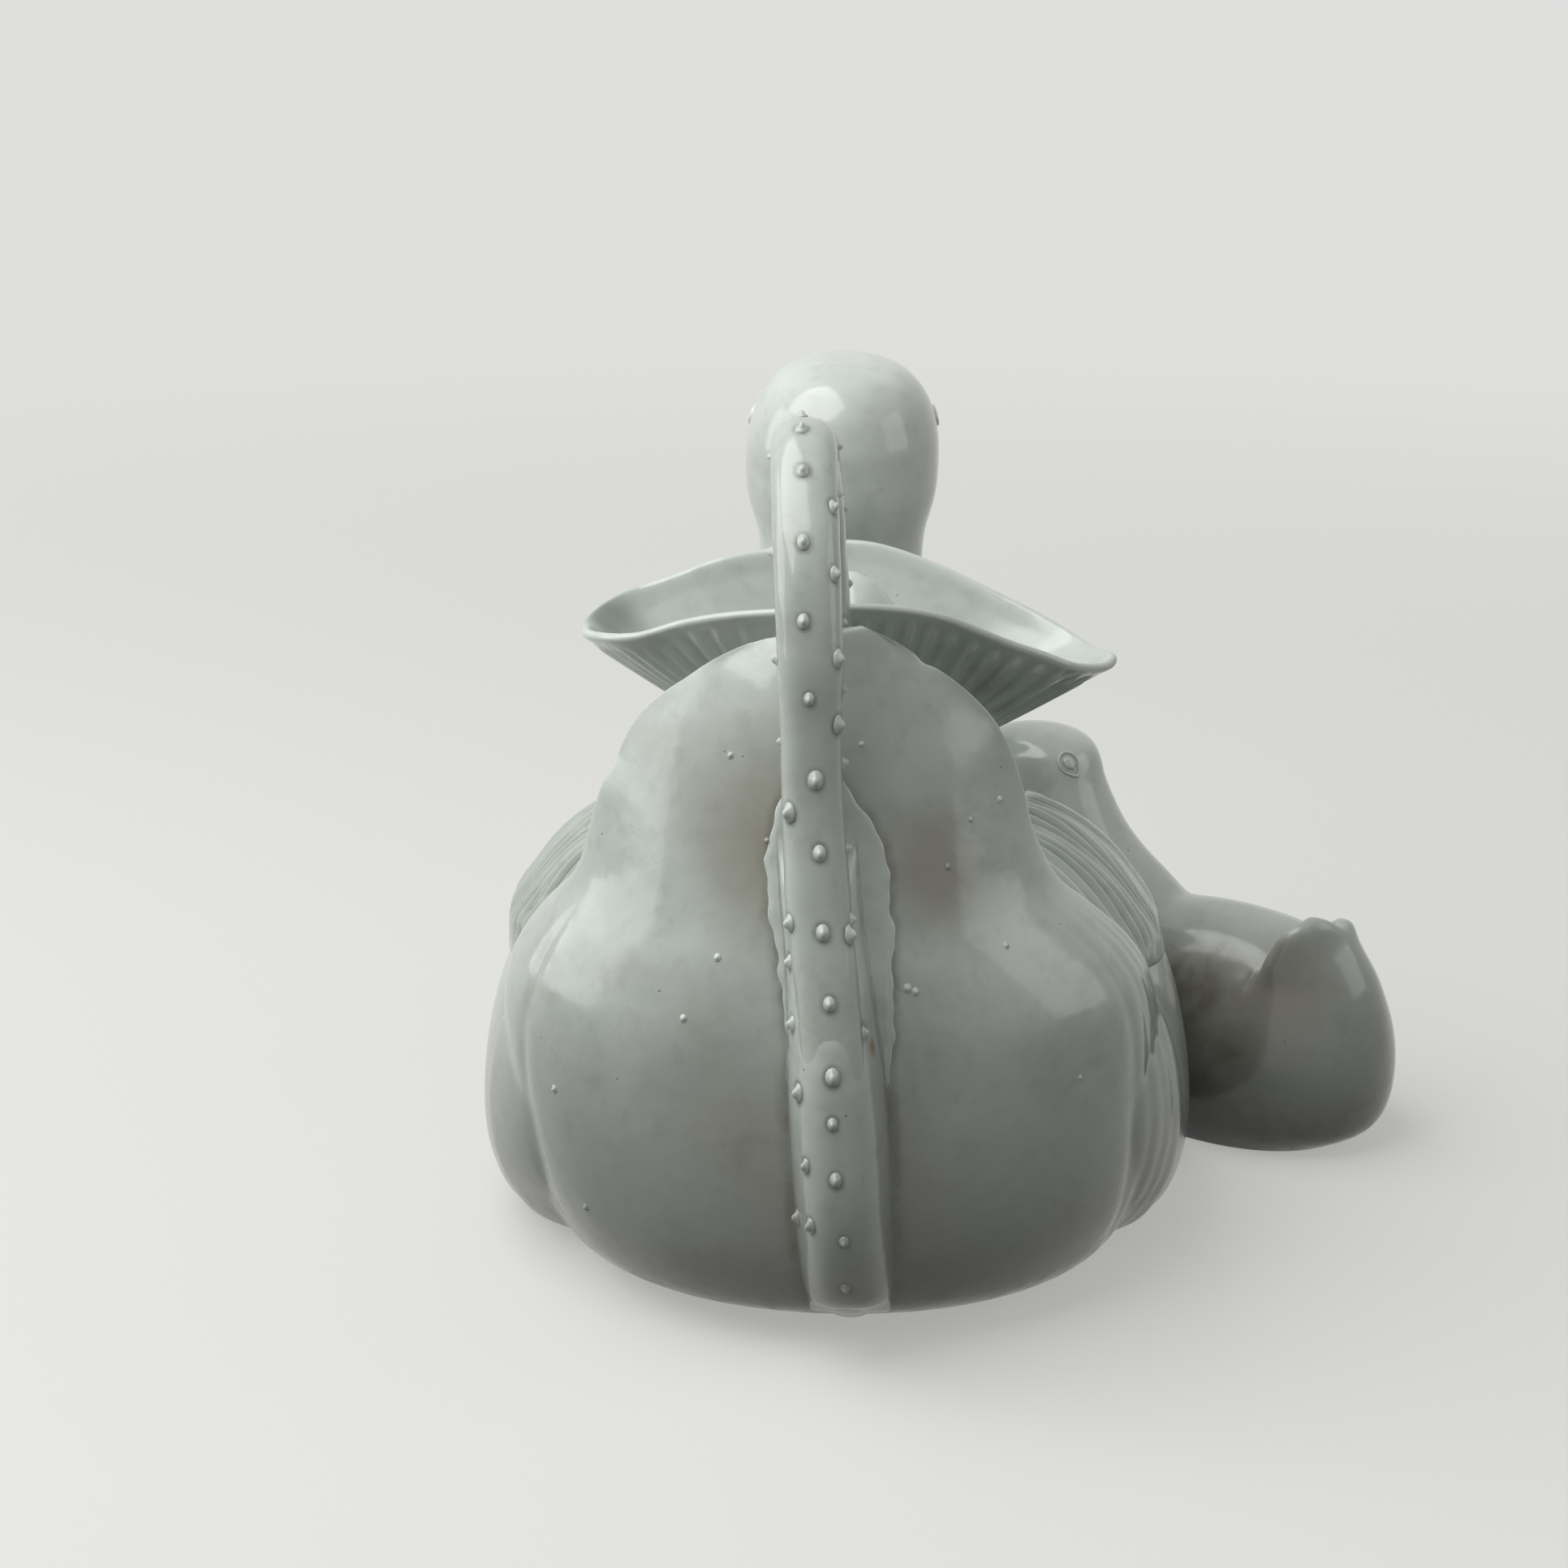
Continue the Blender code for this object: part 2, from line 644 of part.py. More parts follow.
class Tail:
    """Shell over the rump that rises into an upright fan."""

    def __init__(self, table, height, half_width, rear, edge_rear, thickness, lean, scallop):
        self.table = table
        self.height = height
        self.half_width = half_width
        self.rear = rear
        self.edge_rear = edge_rear
        self.thickness = thickness
        self.lean = lean
        self.scallop = scallop

    def arcs(self, share, columns, grow=0.0):
        """Outer and inner points across the shell at a share of the way up."""
        level, width, rear, edge, roundness, middle, rim, lean = smooth_row(self.table, share)
        fanned = max(level - TAIL_SCALLOP_START_SHARE, 0.0) / (1 - TAIL_SCALLOP_START_SHARE)
        wave = self.scallop * fanned * math.sin(math.tau * TAIL_SCALLOPS * share)
        across = self.half_width * width + grow + wave
        back = self.rear * rear + grow
        side = self.edge_rear * edge - grow
        thin = self.thickness * rim
        narrow = across - thin * (1 - roundness * TAIL_RIM_SHARE)
        inner_side = side - thin * roundness
        inner_back = back - self.thickness * middle
        height = Vector((self.lean * lean, 0.0, self.height * level + grow * level))
        outer = []
        inner = []
        for i in range(columns + 1):
            turn = math.pi * (i / columns - 1 / 2)
            arch = max(math.cos(turn), 0.0) ** (1 + roundness)
            outer.append(height + Vector((across * math.sin(turn), -blend(side, back, arch), 0.0)))
            depth = blend(inner_side, inner_back, arch)
            inner.append(height + Vector((narrow * math.sin(turn), -depth, 0.0)))
        return outer, inner

    def shell(self, name, rows, columns):
        rings = []
        for i in range(rows + 1):
            outer, inner = self.arcs(i / rows, columns)
            rings.append(outer + inner[::-1])
        return loft(name, rings, cap="ladder")

    def solid(self, name, rows, columns, grow):
        """Everything in front of the outer surface as far as the shell's edges, for cutting."""
        rings = []
        for i in range(rows + 1):
            outer, inner = self.arcs(i / rows, columns, grow)
            ring = outer + [inner[-1], inner[0]]
            if i == 0:
                rings.append([point - Vector((0.0, 0.0, OVERRUN)) for point in ring])
            rings.append(ring)
        return loft(name, rings)


EWER_TAIL = Tail(TAIL_SHARES, TAIL_HEIGHT, TAIL_HALF_WIDTH, TAIL_REAR, TAIL_EDGE_REAR,
                 TAIL_THICKNESS, TAIL_LEAN, TAIL_SCALLOP)
DUCK_TAIL = Tail(DUCK_TAIL_SHARES, DUCK_TAIL_HEIGHT, DUCK_TAIL_HALF_WIDTH, DUCK_TAIL_REAR,
                 DUCK_TAIL_EDGE_REAR, DUCK_TAIL_THICKNESS, DUCK_TAIL_LEAN, DUCK_TAIL_SCALLOP)


def ewer_body_form(name, grow):
    top = throat_ring(THROAT_RADIUS + COLLAR_WALL + grow, BODY_HEIGHT + grow, BODY_SIDES)
    return EWER_EGG.solid(name, BODY_RINGS, BODY_SIDES, grow, top)


def duck_body_form(name, grow):
    lift = Vector((0.0, 0.0, grow))
    top = [point + lift for point in DUCK_EGG.ring(1.0, DUCK_SIDES, grow)]
    return DUCK_EGG.solid(name, DUCK_RINGS, DUCK_SIDES, grow, top)


def tail_form(name, grow):
    return EWER_TAIL.solid(name, TAIL_ROWS, TAIL_COLUMNS, grow)


def floor_block(name):
    """Everything below the floor, for trimming what reaches down to it."""
    reach = HANDLE_REAR + BODY_FRONT
    corners = ((-1, -1), (1, -1), (1, 1), (-1, 1))
    rings = []
    for height in (-OVERRUN - HANDLE_RADIUS, JOINT_GAP):
        rings.append([Vector((side * BODY_HALF_WIDTH, end * reach, height)) for side, end in corners])
    return loft(name, rings)


def make_tail_fan():
    tail = EWER_TAIL.shell("tail_fan", TAIL_ROWS, TAIL_COLUMNS)
    return cut(tail, ewer_body_form("body_form", CURVED_GAP))


def wing_rings(egg, shares, rear_angle, front_angle, rows, columns, sizes):
    """Patch of the body's surface, thickened outwards and grooved along its length."""
    thickness, edge, groove, grooves = sizes
    rings = []
    for i in range(rows + 1):
        along = i / rows
        _, lower, upper = row_where(shares, along)
        turn = blend(rear_angle, front_angle, along)
        outer = []
        inner = []
        for j in range(columns + 1):
            across = j / columns
            level = blend(lower, upper, across)
            foot = egg.point(level, turn)
            normal = egg.normal(level, turn)
            inward = blend(WING_END_SHARE, 1 - WING_END_SHARE, along)
            crown = math.sqrt(math.sin(math.pi * across) * math.sin(math.pi * inward))
            ripple = groove * crown * math.cos(math.tau * grooves * across)
            proud = blend(edge, thickness, crown) + ripple
            inner.append(foot - normal * WING_SINK)
            outer.append(foot + normal * proud)
        rings.append(outer + inner[::-1])
    return rings


def make_wing(side_name, side):
    thickness = WING_RIGHT_THICKNESS if side > 0 else WING_LEFT_THICKNESS
    sizes = (thickness, WING_EDGE, WING_GROOVE, WING_GROOVES)
    rings = wing_rings(EWER_EGG, WING_SHARES, WING_REAR_ANGLE, WING_FRONT_ANGLE, WING_ROWS,
                       WING_COLUMNS, sizes)
    wing = loft("wing_" + side_name, rings, cap="ladder")
    if side < 0:
        mirror_piece(wing)
    return cut(wing, ewer_body_form("body_form", JOINT_GAP), tail_form("tail_form", CURVED_GAP))


def mirror_piece(piece):
    piece.data.transform(Matrix.Scale(-1, 4, Vector((1.0, 0.0, 0.0))))
    piece.data.flip_normals()
    return piece


def neck_ring(share_row, grow):
    level, reach, width, length = share_row
    centre = Vector((NECK_X, NECK_Y * reach, NECK_TOP * level))
    half_width = NECK_HALF_WIDTH * width + grow
    half_length = NECK_HALF_WIDTH * length + grow
    return oval(centre, half_width, half_length, NECK_SIDES)


def neck_rows(grow, rings):
    return [neck_ring(smooth_row(NECK_SHARES, i / rings), grow) for i in range(rings + 1)]


def neck_form(name, grow, low_share, high):
    """Filled neck from low_share of its height to the height high."""
    rows = []
    for i in range(NECK_RINGS + 1):
        level = blend(low_share, high / NECK_TOP, i / NECK_RINGS)
        rows.append(neck_ring(row_where(NECK_SHARES, level), grow))
    return loft(name, rows)


def make_neck():
    outer = neck_rows(0.0, NECK_RINGS)
    inner = neck_rows(-NECK_WALL, NECK_RINGS)
    neck = loft("neck", outer + inner[::-1], wrap=True)
    return cut(neck, ewer_body_form("body_form", JOINT_GAP))


class Head:
    """Rounded head on a level seat, with the places of its bill and eyes."""

    def __init__(self, seat, height, half_width, half_length, lead, sides):
        self.seat = seat
        self.height = height
        self.half_width = half_width
        self.half_length = half_length
        self.lead = lead
        self.sides = sides

    def ring(self, share, grow=0.0):
        level, width, length, lead = smooth_row(HEAD_SHARES, share)
        centre = self.seat + Vector((0.0, self.lead * lead, self.height * level))
        return oval(centre, self.half_width * width + grow, self.half_length * length + grow, self.sides)

    def solid(self, name, rings, grow):
        rows = []
        for i in range(rings + 1):
            ring = self.ring(i / rings, grow)
            if i == 0:
                rows.append([point - Vector((0.0, 0.0, grow)) for point in ring])
            else:
                rows.append([point + Vector((0.0, 0.0, grow * i / rings)) for point in ring])
        return loft(name, rows)

    def middle(self, height_share):
        row = row_where(HEAD_SHARES, height_share)
        return self.seat + Vector((0.0, self.lead * row[3], self.height * height_share)), row


EWER_HEAD = Head(Vector((NECK_X, NECK_Y, NECK_TOP + JOINT_GAP)), HEAD_HEIGHT, HEAD_HALF_WIDTH,
                 HEAD_HALF_LENGTH, HEAD_LEAD, NECK_SIDES)
DUCK_HEAD = Head(Vector((0.0, 0.0, JOINT_GAP)), DUCK_HEAD_HEIGHT, DUCK_HEAD_HALF_WIDTH,
                 DUCK_HEAD_HALF_LENGTH, DUCK_HEAD_LEAD, DUCK_NECK_SIDES)
DUCK_HEAD_SEAT = Matrix.Translation((0.0, DUCK_NECK_REACH, DUCK_NECK_HEIGHT))
DUCK_HEAD_PLACE = DUCK_PLACE @ DUCK_HEAD_SEAT @ Matrix.Rotation(DUCK_HEAD_TURN, 4, "Z")


class Bill:
    """Two curved halves round a channel, reaching from inside the head."""

    def __init__(self, head, length, half_width, rise, drop, droop, wall):
        self.root, row = head.middle(BILL_MOUTH_SHARE)
        self.front = self.root.y + head.half_length * row[2]
        self.length = length
        self.half_width = half_width
        self.rise = rise
        self.drop = drop
        self.droop = droop
        self.wall = wall

    def centre(self, share):
        y = blend(self.root.y + self.wall, self.front + self.length, share)
        sink = self.droop * share * share
        return Vector((self.root.x, y, self.root.z - sink))

    def arc(self, share, upward, inset):
        """Half of the section; the mouth line is level between the two halves."""
        _, width, rise, drop = row_where(BILL_SHARES, share)
        height = self.rise * rise if upward > 0 else self.drop * drop
        across = self.half_width * width - inset
        tall = height - inset
        centre = self.centre(share) + Vector((0.0, 0.0, upward * JOINT_GAP / 2))
        points = []
        for i in range(BILL_SIDES + 1):
            turn = math.pi * i / BILL_SIDES
            points.append(centre + Vector((across * math.cos(turn), 0.0, upward * tall * math.sin(turn))))
        return points

    def half(self, name, upward):
        rings = []
        for i in range(BILL_ROWS + 1):
            share = i / BILL_ROWS
            outer = self.arc(share, upward, 0.0)
            inner = self.arc(share, upward, self.wall * blend(1.0, BILL_LIP_SHARE, share))
            rings.append(outer + inner[::-1])
        return loft(name, rings, cap="ladder")

    def solid_half(self, name, upward):
        """Half without a channel, for a bill that pours nothing."""
        rings = []
        for i in range(BILL_ROWS + 1):
            rings.append(self.arc(i / BILL_ROWS, upward, 0.0))
        return loft(name, rings)

    def channel(self, name):
        """Passage through the head's wall into the bill."""
        rings = []
        for share in (0.0, 1.0):
            upper = self.arc(share, 1, self.wall)
            lower = self.arc(share, -1, self.wall)
            rings.append(upper + lower[::-1][1:-1])
        return loft(name, rings)


EWER_BILL = Bill(EWER_HEAD, BILL_LENGTH, BILL_HALF_WIDTH, BILL_UPPER_RISE, BILL_LOWER_DROP,
                 BILL_DROOP, BILL_WALL)
DUCK_BILL = Bill(DUCK_HEAD, DUCK_BILL_LENGTH, DUCK_BILL_HALF_WIDTH, DUCK_BILL_UPPER_RISE,
                 DUCK_BILL_LOWER_DROP, DUCK_BILL_DROOP, DUCK_BILL_INSET)


def make_head():
    """Hollow head, open below to the neck and in front to the bill."""
    outer = [EWER_HEAD.ring(i / HEAD_RINGS) for i in range(HEAD_RINGS + 1)]
    lift = (HEAD_HEIGHT - HEAD_WALL) / HEAD_HEIGHT
    inner = []
    for i in range(HEAD_INNER_RINGS + 1):
        ring = EWER_HEAD.ring(HEAD_HOLLOW_SHARE * i / HEAD_INNER_RINGS, -HEAD_WALL)
        inner.append([Vector((point.x, point.y, blend(EWER_HEAD.seat.z, point.z, lift))) for point in ring])
    head = loft("head", inner[::-1] + outer)
    return cut(head, EWER_BILL.channel("channel"))


def head_form(name, grow):
    return EWER_HEAD.solid(name, HEAD_RINGS, grow)


def make_bill_half(name, upward):
    return cut(EWER_BILL.half(name, upward), head_form("head_form", JOINT_GAP))


def pellet(name, head, side, angle, radius, bulge):
    """Low dome pressed on the side of a head, turned by angle from straight aside to the bill."""
    centre, row = head.middle(EYE_HEIGHT_SHARE)
    turn = angle if side > 0 else math.pi - angle
    out = Vector((math.cos(turn), math.sin(turn), 0.0))
    touch = centre + Vector((head.half_width * row[1] * out.x, head.half_length * row[2] * out.y, 0.0))
    normal = Vector((out.x / head.half_width, out.y / head.half_length, 0.0)).normalized()
    across = Vector((-normal.y, normal.x, 0.0))
    up = Vector((0.0, 0.0, 1.0))
    rings = []
    for lift_share, radius_share in EYE_SHARES:
        ring = []
        for i in range(EYE_SIDES):
            around = math.tau * i / EYE_SIDES
            spread = (across * math.cos(around) + up * math.sin(around)) * radius * radius_share
            ring.append(touch + normal * bulge * lift_share + spread)
        rings.append(ring)
    return loft(name, rings)


def make_eye(side_name, side):
    eye = pellet("eye_" + side_name, EWER_HEAD, side, EYE_ANGLE, EYE_RADIUS, EYE_BULGE)
    return cut(eye, head_form("head_form", JOINT_GAP))


def leaf_rim(turn):
    """Rim of the leaf: round at its left end, pinched to a tip at its right."""
    across = math.cos(turn)
    x = LEAF_X + LEAF_HALF_WIDTH * across
    y = THROAT_Y + LEAF_HALF_DEPTH * math.sin(turn)
    bottom = BODY_HEIGHT + COLLAR_HEIGHT
    rise = row_where(LEAF_RIM_SHARES, across)[1]
    wave = LEAF_WAVE * math.sin(LEAF_WAVES * turn)
    return Vector((x, y, bottom + (LEAF_RIM_HEIGHT - bottom) * rise + wave))


def leaf_point(share, turn):
    """Outer surface of the leaf from the throat, share 0, to the rim, share 1."""
    radius = THROAT_RADIUS + COLLAR_WALL
    bottom = BODY_HEIGHT + COLLAR_HEIGHT + 2 * JOINT_GAP
    start = THROAT_AXIS + Vector((radius * math.cos(turn), radius * math.sin(turn), bottom))
    end = leaf_rim(turn)
    level = blend(start, end, share)
    level.z = blend(start.z, end.z, share ** LEAF_BOWL)
    return level


def leaf_ring(share, inset):
    ring = []
    for i in range(LEAF_SIDES):
        turn = math.tau * i / LEAF_SIDES
        point = leaf_point(share, turn)
        if inset:
            point = point - surface_normal(leaf_point, share, turn) * inset
        ring.append(point)
    return ring


def make_leaf_funnel():
    outer = [leaf_ring(i / LEAF_ROWS, 0.0) for i in range(LEAF_ROWS + 1)]
    inner = []
    for i in range(1, LEAF_ROWS + 1):
        share = i / LEAF_ROWS
        inner.append(leaf_ring(share, blend(LEAF_WALL, LEAF_RIM_WALL, share)))
    bottom = BODY_HEIGHT + COLLAR_HEIGHT + 2 * JOINT_GAP
    inner.insert(0, throat_ring(THROAT_RADIUS, bottom + LEAF_WALL, LEAF_SIDES))
    inner.insert(0, throat_ring(THROAT_RADIUS, bottom, LEAF_SIDES))
    return loft("leaf_funnel", outer + inner[::-1], wrap=True)


def leaf_form(name, grow):
    rings = [leaf_ring(i / LEAF_ROWS, -grow) for i in range(LEAF_ROWS + 1)]
    return loft(name, rings)


def make_bud_stopper():
    """Closed lotus bud that sits in the throat, with a plug below it."""
    seat = BODY_HEIGHT + COLLAR_HEIGHT + LEAF_WALL + 3 * JOINT_GAP
    plug = THROAT_RADIUS - BUD_PLUG_CLEARANCE
    end = seat - BUD_PLUG_LENGTH
    rings = [
        throat_ring(plug - BUD_PLUG_CHAMFER, end, BUD_SIDES),
        throat_ring(plug, end + BUD_PLUG_CHAMFER, BUD_SIDES),
    ]
    for level, radius in BUD_SHARES:
        rings.append(throat_ring(BUD_RADIUS * radius, seat + BUD_HEIGHT * level, BUD_SIDES))
    return loft("bud_stopper", rings)


def handle_frame(share):
    """Centre of the stem, its direction, its outer side and its thickness."""
    lean, rear, height, thick = smooth_row(HANDLE_SHARES, share)
    centre = Vector((HANDLE_LEAN * lean, -HANDLE_REAR * rear, HANDLE_TOP * height))
    ahead = smooth_row(HANDLE_SHARES, min(share + SLOPE_STEP_SHARE, 1.0))
    behind = smooth_row(HANDLE_SHARES, max(share - SLOPE_STEP_SHARE, 0.0))
    along = Vector((HANDLE_LEAN * (ahead[0] - behind[0]), -HANDLE_REAR * (ahead[1] - behind[1]),
                    HANDLE_TOP * (ahead[2] - behind[2]))).normalized()
    outward = Vector((1.0, 0.0, 0.0)).cross(along).normalized()
    side = outward.cross(along).normalized()
    return centre, along, outward, side, thick


def handle_ring(share, grow):
    centre, _, outward, side, thick = handle_frame(share)
    radius = HANDLE_RADIUS * thick + grow
    ring = []
    for i in range(HANDLE_SIDES):
        turn = math.tau * i / HANDLE_SIDES
        spread = side * math.sin(turn) + outward * math.cos(turn) * HANDLE_DEPTH_SHARE
        ring.append(centre + spread * radius)
    return ring


def handle_form(name, grow):
    rings = [handle_ring(i / HANDLE_RINGS, grow) for i in range(HANDLE_RINGS + 1)]
    return loft(name, rings)


def make_prickle(share, turn_share):
    """Small thorn whose middle lies in the surface of the stem."""
    centre, along, outward, side, thick = handle_frame(share)
    turn = math.tau * turn_share
    out = side * math.sin(turn) + outward * math.cos(turn)
    frame = Matrix((out.cross(along).normalized(), along, out)).transposed().to_4x4()
    frame.translation = centre + out * HANDLE_RADIUS * thick * HANDLE_DEPTH_SHARE
    thorn = bmesh.new()
    bmesh.ops.create_cone(thorn, cap_ends=True, segments=PRICKLE_SIDES, radius1=2 * PRICKLE_RADIUS,
                          radius2=0.0, depth=2 * PRICKLE_HEIGHT, matrix=frame)
    return finish_mesh("prickle", thorn)


def make_handle_stem():
    stem = handle_form("handle_stem", 0.0)
    thorns = []
    for turn_share, first, last, number in PRICKLE_SHARES:
        for i in range(number):
            share = blend(first, last, i / (number - 1))
            thorns.append(make_prickle(share, turn_share))
    join(stem, *thorns)
    return cut(stem, leaf_form("leaf_form", JOINT_GAP), tail_form("tail_form", JOINT_GAP),
               floor_block("floor"))


def make_handle_seat():
    """Crescent of slip between the stem and the rump, fading out up the fan."""
    rings = []
    for i in range(SEAT_RINGS + 1):
        share = SEAT_LAST_SHARE * i / SEAT_RINGS
        centre, _, outward, side, _ = handle_frame(share)
        fade = 1 - SEAT_FADE_SHARE * (i / SEAT_RINGS) ** 3
        sink = blend(SEAT_FOOT_SHARE, 1.0, min(share / SEAT_FOOT_END_SHARE, 1.0))
        middle = centre - outward * HANDLE_RADIUS * sink
        ring = []
        for j in range(SEAT_SIDES):
            turn = math.tau * j / SEAT_SIDES
            ring.append(middle + side * math.sin(turn) * SEAT_HALF_WIDTH * fade
                        + outward * math.cos(turn) * SEAT_HALF_DEPTH * fade)
        rings.append(ring)
    seat = loft("handle_seat", rings)
    return cut(seat, tail_form("tail_form", JOINT_GAP), handle_form("stem_form", JOINT_GAP),
               floor_block("floor"))


def make_duck_body():
    outer = [DUCK_EGG.ring(i / DUCK_RINGS, DUCK_SIDES) for i in range(DUCK_RINGS + 1)]
    lift = (DUCK_HEIGHT - DUCK_WALL) / DUCK_HEIGHT
    inner = []
    for i in range(DUCK_INNER_RINGS + 1):
        ring = DUCK_EGG.ring(DUCK_HOLLOW_SHARE * i / DUCK_INNER_RINGS, DUCK_SIDES, -DUCK_WALL)
        inner.append([Vector((point.x, point.y, point.z * lift)) for point in ring])
    body = place(loft("duckling_body", inner[::-1] + outer), DUCK_PLACE)
    return cut(body, ewer_body_form("body_form", JOINT_GAP))


def make_duck_tail():
    tail = DUCK_TAIL.shell("duckling_tail_fan", DUCK_TAIL_ROWS, DUCK_TAIL_COLUMNS)
    cut(tail, duck_body_form("duck_form", JOINT_GAP))
    place(tail, DUCK_PLACE)
    return cut(tail, ewer_body_form("body_form", JOINT_GAP))


def make_duck_wing(side_name, side):
    sizes = (DUCK_WING_THICKNESS, DUCK_WING_EDGE, DUCK_WING_GROOVE, DUCK_WING_GROOVES)
    rings = wing_rings(DUCK_EGG, DUCK_WING_SHARES, DUCK_WING_REAR_ANGLE, DUCK_WING_FRONT_ANGLE,
                       DUCK_WING_ROWS, DUCK_WING_COLUMNS, sizes)
    wing = loft("duckling_wing_" + side_name, rings, cap="ladder")
    if side < 0:
        mirror_piece(wing)
    tail = DUCK_TAIL.solid("duck_tail_form", DUCK_TAIL_ROWS, DUCK_TAIL_COLUMNS, CURVED_GAP)
    cut(wing, duck_body_form("duck_form", JOINT_GAP), tail, duck_neck_form("duck_neck_form", JOINT_GAP))
    place(wing, DUCK_PLACE)
    return cut(wing, ewer_body_form("body_form", JOINT_GAP))


def duck_neck_rings(grow):
    rings = []
    for i in range(DUCK_NECK_RINGS + 1):
        level, reach, width, length = smooth_row(DUCK_NECK_SHARES, i / DUCK_NECK_RINGS)
        centre = Vector((0.0, DUCK_NECK_REACH * reach, DUCK_NECK_HEIGHT * level))
        half_width = DUCK_NECK_HALF_WIDTH * width + grow
        half_length = DUCK_NECK_HALF_WIDTH * length + grow
        rings.append(oval(centre, half_width, half_length, DUCK_NECK_SIDES))
    return rings


def duck_neck_form(name, grow):
    return loft(name, duck_neck_rings(grow))


def make_duck_neck():
    neck = duck_neck_form("duckling_neck", 0.0)
    cut(neck, duck_body_form("duck_form", JOINT_GAP))
    place(neck, DUCK_PLACE)
    return cut(neck, ewer_body_form("body_form", JOINT_GAP))


def duck_head_form(name, grow):
    return place(DUCK_HEAD.solid(name, DUCK_HEAD_RINGS, grow), DUCK_HEAD_PLACE)


def make_duck_head():
    rings = [DUCK_HEAD.ring(i / DUCK_HEAD_RINGS) for i in range(DUCK_HEAD_RINGS + 1)]
    head = place(loft("duckling_head", rings), DUCK_HEAD_PLACE)
    return cut(head, ewer_body_form("body_form", JOINT_GAP))


def make_duck_bill(name, upward):
    half = place(DUCK_BILL.solid_half(name, upward), DUCK_HEAD_PLACE)
    return cut(half, duck_head_form("duck_head_form", JOINT_GAP))


def make_duck_eye(side_name, side):
    eye = pellet("duckling_eye_" + side_name, DUCK_HEAD, side, DUCK_EYE_ANGLE, DUCK_EYE_RADIUS,
                 DUCK_EYE_BULGE)
    place(eye, DUCK_HEAD_PLACE)
    return cut(eye, duck_head_form("duck_head_form", JOINT_GAP), ewer_body_form("body_form", JOINT_GAP))


def main():
    clear_scene()
    glaze = make_material("glaze", GLAZE_COLOUR, GLAZE_ROUGHNESS)
    biscuit = make_material("biscuit", BISCUIT_COLOUR, BISCUIT_ROUGHNESS)
    dress(make_base_slab(), biscuit)
    glazed = [
        make_body_shell(),
        make_tail_fan(),
        make_throat_collar(),
        make_leaf_funnel(),
        make_bud_stopper(),
        make_neck(),
        make_head(),
        make_bill_half("bill_upper", 1),
        make_bill_half("bill_lower", -1),
        make_handle_stem(),
        make_handle_seat(),
        make_duck_body(),
        make_duck_tail(),
        make_duck_neck(),
        make_duck_head(),
        make_duck_bill("duckling_bill_upper", 1),
        make_duck_bill("duckling_bill_lower", -1),
    ]
    for side_name, side in (("left", -1), ("right", 1)):
        glazed.append(make_wing(side_name, side))
        glazed.append(make_eye(side_name, side))
        glazed.append(make_duck_wing(side_name, side))
        glazed.append(make_duck_eye(side_name, side))
    for piece in glazed:
        dress(piece, glaze)


main()
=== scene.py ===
"""Looks of a porcelain ewer shaped as a sitting water bird, with a smaller bird at its side.

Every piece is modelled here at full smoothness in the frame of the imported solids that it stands
for: the glazed body, the rump with its tail fan, the feathered wings, the neck and head, the lotus
leaf funnel with its bud, the prickly stem handle and the smaller bird. Metres, +Z up.
"""
import json
import math

import bmesh
import bpy
import numpy as np
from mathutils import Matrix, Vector
from mathutils.bvhtree import BVHTree

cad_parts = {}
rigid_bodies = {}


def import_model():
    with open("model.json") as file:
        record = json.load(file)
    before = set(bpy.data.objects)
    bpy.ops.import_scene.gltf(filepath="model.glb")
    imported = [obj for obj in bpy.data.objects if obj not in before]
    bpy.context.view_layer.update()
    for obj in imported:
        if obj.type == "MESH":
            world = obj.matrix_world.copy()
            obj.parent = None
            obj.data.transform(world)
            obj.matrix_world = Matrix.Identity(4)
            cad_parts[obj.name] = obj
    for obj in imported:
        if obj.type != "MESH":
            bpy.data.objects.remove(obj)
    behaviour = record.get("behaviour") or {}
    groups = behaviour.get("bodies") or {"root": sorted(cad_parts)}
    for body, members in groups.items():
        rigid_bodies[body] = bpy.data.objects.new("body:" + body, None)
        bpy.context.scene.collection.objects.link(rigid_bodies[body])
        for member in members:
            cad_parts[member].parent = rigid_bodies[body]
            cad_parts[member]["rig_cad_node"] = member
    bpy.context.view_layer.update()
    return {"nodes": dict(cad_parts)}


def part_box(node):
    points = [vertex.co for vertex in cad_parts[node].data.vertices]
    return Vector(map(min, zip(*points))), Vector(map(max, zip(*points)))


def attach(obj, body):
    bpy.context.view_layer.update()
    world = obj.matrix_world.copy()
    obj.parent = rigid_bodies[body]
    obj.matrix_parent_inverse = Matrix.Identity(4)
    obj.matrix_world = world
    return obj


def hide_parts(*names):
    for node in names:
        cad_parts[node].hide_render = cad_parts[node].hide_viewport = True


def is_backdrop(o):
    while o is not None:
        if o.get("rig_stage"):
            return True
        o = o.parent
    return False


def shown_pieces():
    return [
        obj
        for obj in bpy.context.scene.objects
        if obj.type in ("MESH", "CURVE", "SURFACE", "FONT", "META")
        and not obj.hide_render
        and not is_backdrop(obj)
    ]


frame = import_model()

bl_info = {
    "name": "Porcelain bird ewer",
    "version": (1, 0, 0),
    "blender": (4, 5, 0),
    "location": "View3D > Sidebar > Ewer",
    "description": "Builds the glazed pieces of a bird-shaped porcelain ewer",
    "category": "Object",
}

UP = Vector((0.0, 0.0, 1.0))
FLOOR_CLEARANCE = 0.0003

